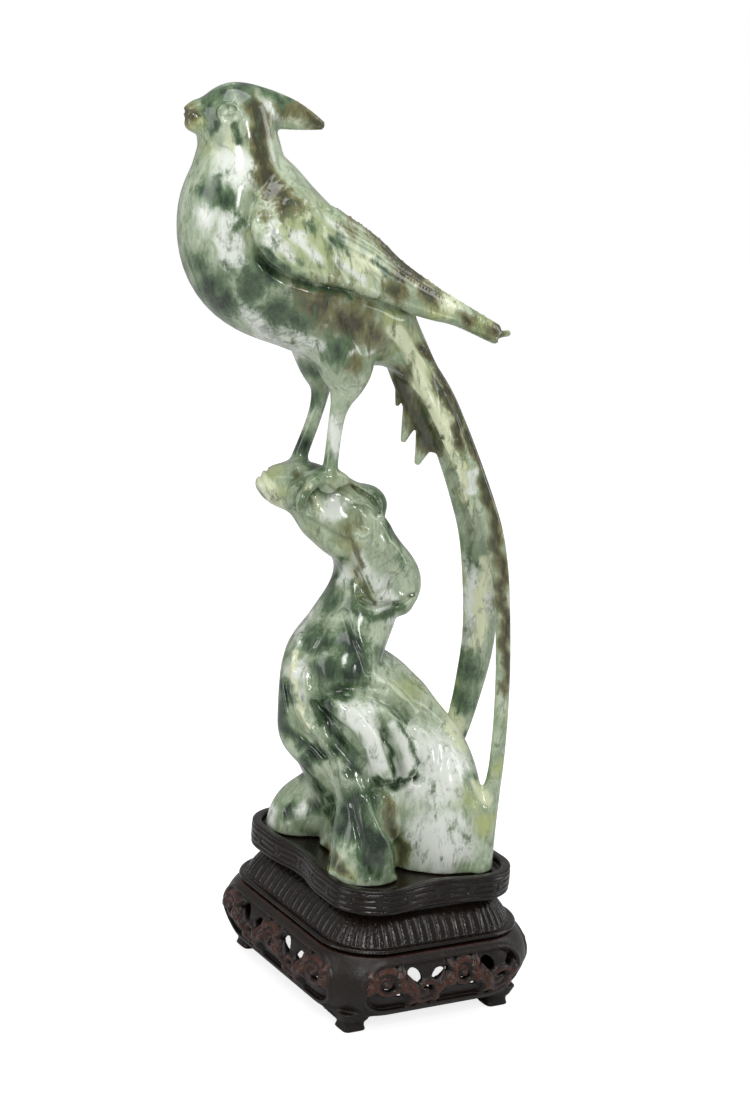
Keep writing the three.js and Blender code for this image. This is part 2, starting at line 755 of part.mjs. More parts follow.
function buildGroup() {
  const group = new THREE.Group();
  const jade = new THREE.MeshStandardMaterial({ color: 0xb9c9b4, roughness: 0.25 });
  const wood = new THREE.MeshStandardMaterial({ color: 0x2a1d18, roughness: 0.5 });
  group.add(meshOf("carved_jade_bird", carving(), jade));
  group.add(meshOf("carved_wood_stand", stand(), wood));
  const box = new THREE.Box3().setFromObject(group);
  const centre = box.getCenter(new THREE.Vector3());
  for (const mesh of group.children) {
    mesh.geometry.translate(-centre.x, -centre.y, -box.min.z);
  }
  return group;
}

const group = buildGroup();
export default group;
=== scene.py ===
import math

import bpy
import numpy as np
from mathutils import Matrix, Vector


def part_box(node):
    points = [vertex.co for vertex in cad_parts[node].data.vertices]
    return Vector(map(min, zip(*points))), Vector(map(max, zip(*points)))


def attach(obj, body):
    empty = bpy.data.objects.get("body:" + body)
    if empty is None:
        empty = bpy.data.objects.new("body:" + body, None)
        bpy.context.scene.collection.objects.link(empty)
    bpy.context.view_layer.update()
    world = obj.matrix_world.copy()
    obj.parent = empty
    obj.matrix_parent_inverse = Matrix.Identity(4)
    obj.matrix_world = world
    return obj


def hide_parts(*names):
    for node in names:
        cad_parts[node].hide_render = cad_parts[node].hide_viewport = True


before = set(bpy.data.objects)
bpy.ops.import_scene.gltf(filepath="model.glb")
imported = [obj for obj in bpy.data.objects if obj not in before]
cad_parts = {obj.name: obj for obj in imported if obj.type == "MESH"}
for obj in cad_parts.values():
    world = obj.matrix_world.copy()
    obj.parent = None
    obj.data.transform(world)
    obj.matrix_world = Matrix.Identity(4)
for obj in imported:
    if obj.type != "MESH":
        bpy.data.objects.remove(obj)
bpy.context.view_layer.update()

import openvdb
from mathutils import Matrix, Vector

# Sizes in millimetres. The stand's frame has its middle at the origin and its feet on 0
MM = 0.001
JADE_VOXEL = 0.72
STAND_VOXEL = 0.5
JADE_TRIANGLES = 192000
STAND_TRIANGLES = 192000
FIGURE_BASE = 57.3
CARVING_SHIFT = (-1.5, 5.0)
BIRD_TURN = math.radians(-12.6)
BIRD_SHIFT_Y = -13.5
WING_LEAN = math.radians(30)
FAR = 12.0

# The photo's camera, found by matching the stand's corners. Its aim is across and up from the carving's base
CAMERA_TURN = math.radians(31.3)
CAMERA_PITCH = math.radians(14.1)
CAMERA_ROLL = math.radians(4.5)
CAMERA_DISTANCE = 980.9
CAMERA_AIM = (-7.6, 184.1)
PHOTO_SIZE = (750, 1100)
PHOTO_FOCAL = 2400.0

# Stand sizes
BEAD_X = 88.0
BEAD_Y = 107.0
BEAD_CORNER = 21.5
BEAD_Z = 34.0
BEAD_RADIUS = 1.6
FOOT_Z = 7.0
FOOT_WIDTH = 13.0
FOOT_INSET = 3.5
RAIL = 4.0
BELT_BULGE = 7.5
BELT_TUCK = 1.5
BELT_WALL = 4.5
BELT_TOP = 31.5
POST_WIDTH = 13.0
PANEL_CORNER = 7.0
SHOULDER_TOP = 47.0
SHOULDER_INSET = 11.0
PETALS = 84
TRAY_BOTTOM = 49.5
TRAY_TOP = 60.0
TRAY_GROW = -2.6
TRAY_DIP = 3.0
TRAY_RIM = 4.2
TRAY_WELL = 3.0

# Limbs as stations (x, y, z, half size across, half size sideways), the same carving as the solids
TORSO = [
    (-84.5, 0, 355.8, 14.8, 13.6), (-82, 0, 345, 15.8, 14.6), (-80.8, 0, 333, 19.4, 18.5),
    (-77.5, 0, 320, 26.8, 24), (-69.5, 0, 306.5, 30.6, 26.5), (-52.5, 0, 296.3, 27.6, 26),
    (-34, 0, 286.5, 23.3, 22), (-16.5, 0, 275.5, 12.5, 12), (-4, 0, 264, 7, 7),
]
CREST = [
    (-84, 0, 360, 8.5, 8), (-76, 0, 361, 7.6, 6.4), (-64, 0, 359, 6, 4.4), (-56, 0, 357, 3.9, 2.8),
    (-50.5, 0, 355.4, 1.9, 1.5),
]
BEAK_UPPER = [
    (-94, 0, 358.8, 5, 7), (-98.5, 0, 358.4, 4.2, 5.4), (-101, 0, 357.8, 3.2, 4),
]
BEAK_LOWER = [
    (-93, 0, 353.6, 4.6, 6.2), (-98, 0, 353.4, 3.8, 5), (-100.5, 0, 353.6, 3, 3.8),
]
HEAD = (-83.5, 0, 358, 14.8, 13.6)
NEAR_LEG = [
    (-39, -10, 276, 13, 13), (-37.5, -12, 266.5, 11, 11), (-36.5, -12, 259, 7.2, 8),
    (-38, -12, 251.5, 4.2, 4.6), (-39.5, -12, 243, 3, 3.2), (-40.5, -12, 226, 2.9, 3.2),
    (-41, -12, 219, 4.5, 4.5),
]
FAR_LEG = [
    (-42, 10, 274, 13, 13), (-40.5, 12, 262, 8.5, 10), (-39.5, 12, 253, 4.2, 6), (-40, 12, 245.5, 3, 4),
    (-42, 12, 237, 2.8, 3.1), (-46, 12, 224, 3.2, 3.2), (-47, 12, 216, 5, 5),
]
WING = [
    (-78.1, -21, 327.3, 8.5, 3), (-73.9, -23, 325, 16, 4.4), (-63.5, -24, 316.8, 18.6, 5),
    (-49.7, -21.5, 311.9, 16.5, 5), (-34.3, -17.5, 305.4, 13.8, 4.8), (-20.9, -14, 298.3, 10.4, 4.4),
    (-3.6, -10.5, 290.7, 7.2, 3.6), (8.6, -8, 286.1, 5.2, 2.9), (25, -7, 278.6, 4.2, 2.3),
]
WING_TIP_STUB = [
    (20, -7, 280, 2, 1.6), (25, -7, 278, 1.5, 1.4), (30.5, -7, 278.6, 1.3, 1.2),
]
NEAR_TAIL = [
    (-19, -2, 278, 8, 8), (-2.5, -6, 261, 6.2, 5), (9.5, -8, 243.5, 5.2, 3.6), (27, -10, 206.5, 4.6, 3),
    (33.5, -11, 187, 3.8, 3), (37, -12, 166, 3.2, 3), (39.3, -13.5, 137, 3, 3), (39.7, -14.5, 108.5, 3, 3),
    (38.3, -15, 89.5, 3.6, 3.6), (34, -15, 70, 7, 8), (31, -17, 52, 9, 11),
]
FAR_TAIL = [
    (-17, 3, 277, 8, 8), (3.5, 6, 255, 7, 5), (15, 9, 232, 6.5, 4), (24, 11, 210.5, 6, 3.2),
    (31, 12.5, 190, 6, 3), (37, 14, 160, 7.2, 2.8), (37.8, 15, 140.5, 7.2, 2.8), (34.5, 17, 113, 5.8, 3),
    (29, 18, 92, 5.5, 4), (22, 16, 74, 8, 8),
]
COMB = [
    (-13, 5, 272, 6, 4), (-4, 8, 256, 6.5, 3.6), (3.5, 9, 242, 6, 3.2), (9.5, 9.5, 229, 3, 2.4),
]
STALK = [
    (-35, -5, 205, 14, 13), (-27.5, -5, 199.5, 14.5, 16), (-20.5, -4, 190, 11, 16),
    (-15.5, -2, 178, 10, 15.5), (-14, -1, 165, 14.2, 17), (-21, -1, 150, 15.5, 21),
    (-26.5, -2, 139, 18, 24), (-21, -2, 127, 23.5, 26), (-10.5, -2, 112, 30, 29), (-2, -1, 94, 28.5, 32),
    (3.5, 0, 76, 26.5, 33), (5, 0, 52, 27, 34),
]
PERCH = [
    (-30, -6, 205.5, 10.5, 12), (-42, 1, 212, 11, 12), (-52, 4, 213.5, 8.5, 10), (-58, 5, 214, 4.5, 6),
]
TONGUE = [
    (-30, -13, 204, 9, 9.5), (-24.5, -13, 197, 10.5, 12.5), (-15.5, -13, 186, 11.2, 13),
    (-7.5, -12, 176, 11.8, 12.5), (-4.5, -10, 168.5, 8, 10),
]
FLAP = [
    (-37.5, 3, 147, 4, 6), (-41.5, 2, 136, 4, 7), (-42.5, 1, 121, 4.5, 7), (-40, 0, 108, 5.5, 7),
    (-29, -6, 98, 7, 9),
]
LEFT_FOLD = [
    (-25, -14, 128, 12, 12), (-21, -19, 107.5, 12.5, 13.5), (-17.5, -24, 87, 12.5, 14.5),
    (-20, -29, 70, 14.5, 13.5), (-20.5, -30, 52, 16, 14),
]
RIGHT_MOUND = [
    (6, -8, 117, 12.5, 15), (14, -17, 103, 15, 17.5), (16.5, -24, 83, 18, 18.5), (18, -26, 52, 18.5, 17.5),
]
BACK_LOBE = [
    (-7, 6, 90, 9, 14), (-14, 18, 74, 10.5, 15), (-20, 26, 64, 12, 13.5), (-22, 28, 52, 12.5, 13),
]
FINGER_LEFT = [
    (-38.5, -21, 128, 3, 5), (-35, -25, 126.5, 5.5, 8), (-29, -28.5, 121, 6.8, 9), (-23, -31, 112, 6, 9),
    (-17.5, -32, 103, 5, 8), (-14.5, -32, 98.5, 4, 6),
]
FINGER_RIGHT = [
    (-33, -23, 129, 4, 6), (-23, -27, 127.5, 5.4, 8), (-13, -30, 121.5, 6.2, 8), (-7, -32, 111.5, 5.6, 8),
    (-4.5, -32, 100.5, 4.8, 7), (-4.5, -31, 95, 3, 5),
]
PALE_FEATHERS = [
    ((-19, -8, 277), (-2, -11, 252), (10.5, -11.5, 229), 4.2),
    ((-12, -8, 272), (8, -12, 236), (16, -12, 215), 3.6),
    ((-6, -7, 268), (14, -11.5, 226), (21.5, -12, 200), 3.6),
]
COMB_TEETH = [
    ((-7, 8, 264), (-7, 9, 255), (-7.8, 9, 246), 3),
    ((-1, 9, 252), (-1.5, 10, 240), (-3.6, 10, 231.5), 4.2),
    ((6, 9.5, 242), (5.5, 10, 231), (3.2, 10, 222.5), 4.8),
]
# A thin raised lip that runs down the left side of the front fold
LIP = [
    (-39, -7, 145, 1.8, 3), (-42, -10, 134, 2.2, 3.5), (-40, -14, 120, 2.4, 3.5), (-35, -17, 109, 2.4, 3.5),
    (-28, -20, 100, 2.4, 3.5), (-25.5, -25, 88, 2.4, 3.5), (-28, -29, 76, 2.4, 3.5),
    (-33.5, -31, 64, 2.4, 3.5), (-35.5, -31, 55, 2.4, 3.5),
]
# The edge that parts the rock's flat top from its front
TOP_EDGE = [
    (-47, -16, 209, 1.2, 1.2), (-38, -21, 212, 1.3, 1.4), (-27, -22, 210, 1.3, 1.4),
    (-17, -20, 202, 1.2, 1.3), (-11, -17, 194, 0.8, 1),
]
# The round lobe at the rock's top right, and the hollows scooped in its front: middle and half sizes
RIGHT_LOBE = ((-19, -6, 206.5), (8.5, 10, 8))
HOLLOW_CUTS = [
    ((-9, -29, 176), (9.5, 7.5, 8.5)),
    ((-16, -29.5, 187), (7, 5.5, 8.5)),
    ((-24, -30, 200), (6.5, 6.5, 8)),
]


def between(stations, at):
    """The value between stations on a smooth curve through all of them."""
    i = min(int(at), len(stations) - 2)
    t = at - i
    p1 = np.array(stations[i], float)
    p2 = np.array(stations[i + 1], float)
    p0 = np.array(stations[i - 1], float) if i else 2 * p1 - p2
    p3 = np.array(stations[i + 2], float) if i + 2 < len(stations) else 2 * p2 - p1
    m1 = (p2 - p0) / 2
    m2 = (p3 - p1) / 2
    from_places = (2 * t**3 - 3 * t**2 + 1) * p1 + (3 * t**2 - 2 * t**3) * p2
    from_slopes = (t**3 - 2 * t**2 + t) * m1 + (t**3 - t**2) * m2
    return from_places + from_slopes


def unit(v):
    return v / np.linalg.norm(v)


class Field:
    """A block of space sampled on a grid, holding the distance to the surface being carved."""

    def __init__(self, low, high, voxel):
        self.voxel = voxel
        self.low = np.array(low, float)
        self.shape = tuple(int(math.ceil((h - l) / voxel)) + 1 for l, h in zip(low, high))
        self.d = np.full(self.shape, FAR, np.float32)

    def window(self, low, high):
        """The part of the grid that holds a box, and the grid's coordinates there."""
        a = [max(0, int(math.floor((l - o) / self.voxel))) for l, o in zip(low, self.low)]
        b = [min(n, int(math.ceil((h - o) / self.voxel)) + 1) for h, o, n in zip(high, self.low, self.shape)]
        where = tuple(slice(i, max(i, j)) for i, j in zip(a, b))
        steps = [np.arange(part.start, part.stop) for part in where]
        axes = [(first + self.voxel * step).astype(np.float32) for first, step in zip(self.low, steps)]
        return where, np.meshgrid(*axes, indexing="ij", sparse=True)


def soft_min(a, b, k):
    h = np.clip(0.5 + 0.5 * (a - b) / k, 0, 1)
    return a + (b - a) * h - k * h * (1 - h)


def soft_max(a, b, k):
    return -soft_min(-a, -b, k)


def past_box(a, b):
    """Distance past the edge of a rectangle, from how far its two pairs of sides are passed."""
    return np.hypot(np.maximum(a, 0), np.maximum(b, 0)) + np.minimum(np.maximum(a, b), 0)


def bump(value, width):
    """1 where value is 0, falling smoothly to 0 over the width."""
    return np.exp(-((value / width) ** 2))


def turned(station):
    """A station of the bird, moved to where the bird stands on the rock."""
    x, y, z, *rest = station
    c, s = math.cos(BIRD_TURN), math.sin(BIRD_TURN)
    return (x * c - y * s, x * s + y * c + BIRD_SHIFT_Y, z, *rest)


def limb_distance(field, stations, lean=0.0, turn=0.0, step=2.0, margin=9.0):
    """Distance to a limb with elliptical sections, with how far along and across it each grid point lies."""
    sideways = np.array([-math.sin(turn), math.cos(turn), 0])
    lean_c, lean_s = math.cos(lean), math.sin(lean)
    knots = []
    for i in range(len(stations) - 1):
        length = np.linalg.norm(np.array(stations[i + 1][:3], float) - np.array(stations[i][:3], float))
        count = max(2, int(math.ceil(length / step)))
        knots += [i + k / count for k in range(count)]
    knots.append(len(stations) - 1)
    points = [between(stations, k) for k in knots]
    reach = max(max(p[3], p[4]) for p in points) + margin
    low = np.min([p[:3] for p in points], axis=0) - reach
    high = np.max([p[:3] for p in points], axis=0) + reach
    where, _ = field.window(low, high)
    shape = tuple(w.stop - w.start for w in where)
    best = np.full(shape, 50.0, np.float32)
    along_map = np.zeros(shape, np.float32)
    across_map = np.zeros(shape, np.float32)
    for k in range(len(points) - 1):
        a, b = points[k], points[k + 1]
        span = b[:3] - a[:3]
        length = np.linalg.norm(span)
        along = span / length
        side = unit(np.cross(sideways, along))
        flat = np.cross(along, side)
        side, flat = side * lean_c + flat * lean_s, flat * lean_c - side * lean_s
        near = max(a[3], a[4], b[3], b[4]) + margin
        part, (gx, gy, gz) = field.window(np.minimum(a[:3], b[:3]) - near, np.maximum(a[:3], b[:3]) + near)
        local = tuple(slice(p.start - w.start, p.stop - w.start) for p, w in zip(part, where))
        dx, dy, dz = gx - a[0], gy - a[1], gz - a[2]
        raw = (dx * along[0] + dy * along[1] + dz * along[2]) / length
        t = np.clip(raw, 0, 1)
        w = (raw - t) * length
        u = dx * side[0] + dy * side[1] + dz * side[2]
        v = dx * flat[0] + dy * flat[1] + dz * flat[2]
        ra = a[3] + (b[3] - a[3]) * t
        rb = a[4] + (b[4] - a[4]) * t
        rm = np.minimum(ra, rb)
        size = np.sqrt((u / ra) ** 2 + (v / rb) ** 2 + (w / rm) ** 2)
        slope = np.sqrt((u / ra**2) ** 2 + (v / rb**2) ** 2 + (w / rm**2) ** 2) + 1e-6
        dist = np.where(size < 0.05, -rm, size * (size - 1) / slope).astype(np.float32)
        target = best[local]
        closer = dist < target
        target[closer] = dist[closer]
        along_map[local][closer] = (knots[k] + (knots[k + 1] - knots[k]) * t)[closer]
        across_map[local][closer] = (u / ra)[closer]
    return where, best, along_map, across_map


def add_limb(field, stations, blend, relief=None, **kw):
    """Joins a limb to the field. The relief says how far its skin stands out along and across it."""
    where, dist, t, q = limb_distance(field, stations, **kw)
    if relief:
        dist = dist - relief(t, q)
    field.d[where] = soft_min(field.d[where], dist, blend)


def add_ball(field, centre, radii, blend, cut=False):
    c, r = np.array(centre, float), np.array(radii, float)
    where, (gx, gy, gz) = field.window(c - r - 8, c + r + 8)
    k = np.sqrt(((gx - c[0]) / r[0]) ** 2 + ((gy - c[1]) / r[1]) ** 2 + ((gz - c[2]) / r[2]) ** 2)
    dist = ((k - 1) * r.min()).astype(np.float32)
    part = field.d[where]
    field.d[where] = soft_max(part, -dist, blend) if cut else soft_min(part, dist, blend)


def mirrored(stations):
    return [(s[0], -s[1], *s[2:]) for s in stations]


def bird_limb(field, stations, blend, **kw):
    add_limb(field, [turned(s) for s in stations], blend, turn=BIRD_TURN, **kw)


def blade_stations(root, bend, tip, width, thickness=0.55, blunt=0.15):
    return [
        (*root, width, width * thickness),
        (*bend, width * 0.85, width * thickness * 0.8),
        (*tip, width * blunt, width * blunt),
    ]


def shaft_relief(t, q):
    """A raised shaft down the middle of a feather, with its vane hollowed on both sides."""
    return 0.35 * bump(q, 0.16) - 0.3 * bump(np.abs(q) - 0.5, 0.3)


def tail_relief(t, q):
    """Two long grooves down a tail feather."""
    return -0.45 * bump(q - 0.35, 0.13) - 0.35 * bump(q + 0.4, 0.12)


# Carving on a wing: heights in mm, places in stations along it (t) or half widths across it (q)
WING_RIM = 0.9
WING_RIM_Q = 0.86
FEATHER_ROWS = 8
FEATHER_STEP = 0.6
FEATHER_END_T = 8.2
SCALLOP_PROUD = 0.5
SCALLOP_T = 2.5
SCALLOP_SLANT = 0.8
SCALLOP_WAVE = 0.18


def wing_relief(t, q):
    """A rim along the wing's lower edge, and long feathers laid over each other past a scalloped line."""
    rim = WING_RIM * bump(q - WING_RIM_Q, 0.1) * np.clip(t / 0.5, 0, 1)
    row = (q + 1) / 2 * FEATHER_ROWS
    overlap = (row - np.floor(row)) ** 2 - 0.5
    upper = np.clip((0.35 - q) / 0.5, 0.25, 1)
    past_line = t - SCALLOP_T - SCALLOP_SLANT * q
    shown = np.clip(past_line + 0.2, 0, 1) * np.clip((FEATHER_END_T - t) / 0.6, 0, 1)
    wave = SCALLOP_WAVE * np.abs(np.sin(math.pi * row / 2))
    scallop = SCALLOP_PROUD * bump(past_line - wave, 0.08)
    return (rim + FEATHER_STEP * overlap * shown * upper + scallop).astype(np.float32)


def add_wing(field, flip):
    stations = [turned(s) for s in (mirrored(WING) if flip else WING)]
    lean = WING_LEAN if flip else -WING_LEAN
    add_limb(field, stations, 0.8, wing_relief, lean=lean, turn=BIRD_TURN, step=1.5)
    bird_limb(field, mirrored(WING_TIP_STUB) if flip else WING_TIP_STUB, 0.8)


# Toes: how far out as a share of their reach, how high over the ankle, how thick. A short one has no claw
TOE_REACH = 14.0
BACK_TOE_REACH = 10.0
BACK_TOE = 180
TOE_SPREAD = (-28, 0, 28, BACK_TOE)
SHORT_TOE = 3
TOE_SHAPE = [
    (0, 2.5, 3.2), (0.35, 2.2, 2.6), (0.6, 0.6, 2.7), (0.82, -2, 2.1), (1, -5.5, 2.2), (1.06, -10.5, 0.8),
]


def add_foot(field, leg, toe_shape):
    x, y, z = leg[-1][:3]
    for degrees in TOE_SPREAD:
        reach = BACK_TOE_REACH if degrees == BACK_TOE else TOE_REACH
        dx, dy = -reach * math.cos(math.radians(degrees)), reach * math.sin(math.radians(degrees))
        shape = TOE_SHAPE[:SHORT_TOE] if degrees == BACK_TOE else toe_shape
        toe = [(x + dx * out, y + dy * out, z + up, thick, thick) for out, up, thick in shape]
        bird_limb(field, toe, 1.6, step=1.5)


# The eye: how far forward as a share of the head, then sizes in mm
EYE_FORWARD = 0.4
EYE_UP = 0.6
EYE_SINK = 0.9
EYE_TILT = 0.12
EYE_RING = 3.7
EYE_TUBE = 0.85
EYE_BEAD = 2.3
EYE_MOAT = 2.9
EYE_MOAT_TUBE = 0.7


def add_eye(field, side):
    """A bead in a ring on the side of the head."""
    head_x, _, head_z, across, lateral = HEAD
    out = lateral * math.sqrt(1 - EYE_FORWARD**2) - EYE_SINK
    centre = np.array(turned((head_x - EYE_FORWARD * across, side * out, head_z + EYE_UP)))
    c, s = math.cos(BIRD_TURN), math.sin(BIRD_TURN)
    normal = unit(np.array([-EYE_FORWARD * c - side * s, side * c - EYE_FORWARD * s, EYE_TILT]))
    where, (gx, gy, gz) = field.window(centre - 8, centre + 8)
    h = (gx - centre[0]) * normal[0] + (gy - centre[1]) * normal[1] + (gz - centre[2]) * normal[2]
    r2 = (gx - centre[0]) ** 2 + (gy - centre[1]) ** 2 + (gz - centre[2]) ** 2
    r = np.sqrt(np.maximum(r2 - h**2, 0))
    moat = np.hypot(r - EYE_MOAT, h - 1.2) - EYE_MOAT_TUBE
    ring = np.hypot(r - EYE_RING, h - 0.5) - EYE_TUBE
    bead = np.hypot(r, (h + 0.4) * 1.2) - EYE_BEAD
    part = soft_max(field.d[where], -moat.astype(np.float32), 0.4)
    part = soft_min(part, ring.astype(np.float32), 0.4)
    field.d[where] = soft_min(part, bead.astype(np.float32), 0.3)


def carve_bird(field):
    for limb, blend in ((TORSO, 0.1), (NEAR_LEG, 4), (FAR_LEG, 4), (CREST, 2.5)):
        bird_limb(field, limb, blend)
    for limb, blend in ((BEAK_UPPER, 2), (BEAK_LOWER, 1.2)):
        bird_limb(field, limb, blend, step=1)
    bird_limb(field, COMB, 1.5)
    for limb, blend in ((FAR_TAIL, 2), (NEAR_TAIL, 3)):
        bird_limb(field, limb, blend, relief=tail_relief)
    for feather in PALE_FEATHERS:
        bird_limb(field, blade_stations(*feather), 0.5, relief=shaft_relief)
    for tooth in COMB_TEETH:
        bird_limb(field, blade_stations(*tooth, blunt=0.3), 0.6)
    for flip in (False, True):
        add_wing(field, flip)
        add_eye(field, 1 if flip else -1)


def carve_rock(field):
    for limb, blend in ((STALK, 0.1), (PERCH, 5), (BACK_LOBE, 4), (FLAP, 3)):
        add_limb(field, limb, blend)
    for limb, blend in ((LEFT_FOLD, 5), (RIGHT_MOUND, 6), (TONGUE, 2)):
        add_limb(field, limb, blend)
    add_ball(field, *RIGHT_LOBE, 3)
    for centre, radii in HOLLOW_CUTS:
        add_ball(field, centre, radii, 2.5, cut=True)
    for limb, blend in ((TOP_EDGE, 1.2), (LIP, 1.5), (FINGER_RIGHT, 1.2), (FINGER_LEFT, 1.0)):
        add_limb(field, limb, blend)


def mesh_of(name, field, triangles):
    """The surface of a field as a Blender mesh object, thinned to the given number of triangles."""
    grid = openvdb.FloatGrid(FAR)
    grid.copyFromArray(np.ascontiguousarray(field.d))
    points, quads = grid.convertToQuads(isovalue=0.0)
    points = points * field.voxel + field.low
    mesh = bpy.data.meshes.new(name)
    mesh.from_pydata((points * MM).tolist(), [], quads.tolist())
    made = bpy.data.objects.new(name, mesh)
    bpy.context.scene.collection.objects.link(made)
    a, b, c, d = (points[quads[:, k]] for k in range(4))
    volume = np.einsum("ij,ij->", a, np.cross(b, c)) + np.einsum("ij,ij->", a, np.cross(c, d))
    if volume < 0:
        mesh.flip_normals()
    thin = made.modifiers.new("thin", "DECIMATE")
    thin.ratio = min(1.0, triangles / (2 * len(quads)))
    bpy.context.view_layer.update()
    done = bpy.data.meshes.new_from_object(made.evaluated_get(bpy.context.evaluated_depsgraph_get()))
    made.modifiers.clear()
    made.data = done
    done.polygons.foreach_set("use_smooth", np.ones(len(done.polygons), bool))
    return made


def corners_of(mesh):
    """The mesh's corners in millimetres, one row each."""
    points = np.empty(len(mesh.vertices) * 3, np.float32)
    mesh.vertices.foreach_get("co", points)
    return points.reshape(-1, 3) / MM


def write_attribute(mesh, name, values):
    layer = mesh.attributes.new(name, "FLOAT", "POINT")
    layer.data.foreach_set("value", values.astype(np.float32))


def carve_jade():
    field = Field((-108, -52, FIGURE_BASE - 3), (60, 52, 376), JADE_VOXEL)
    carve_bird(field)
    carve_strokes(field, BIRD_STROKES + [curl_stroke(*curl) for curl in WING_CURLS])
    bird = field.d
    field.d = np.full(field.shape, FAR, np.float32)
    carve_rock(field)
    carve_strokes(field, ROCK_STROKES)
    field.d = soft_min(field.d, bird, 3.0)
    add_foot(field, NEAR_LEG, TOE_SHAPE)
    add_foot(field, FAR_LEG, TOE_SHAPE[:SHORT_TOE])
    heights = field.low[2] + field.voxel * np.arange(field.shape[2])
    field.d = np.maximum(field.d, (FIGURE_BASE - heights).astype(np.float32)[None, None, :])
    return mesh_of("jade_carving", field, JADE_TRIANGLES)


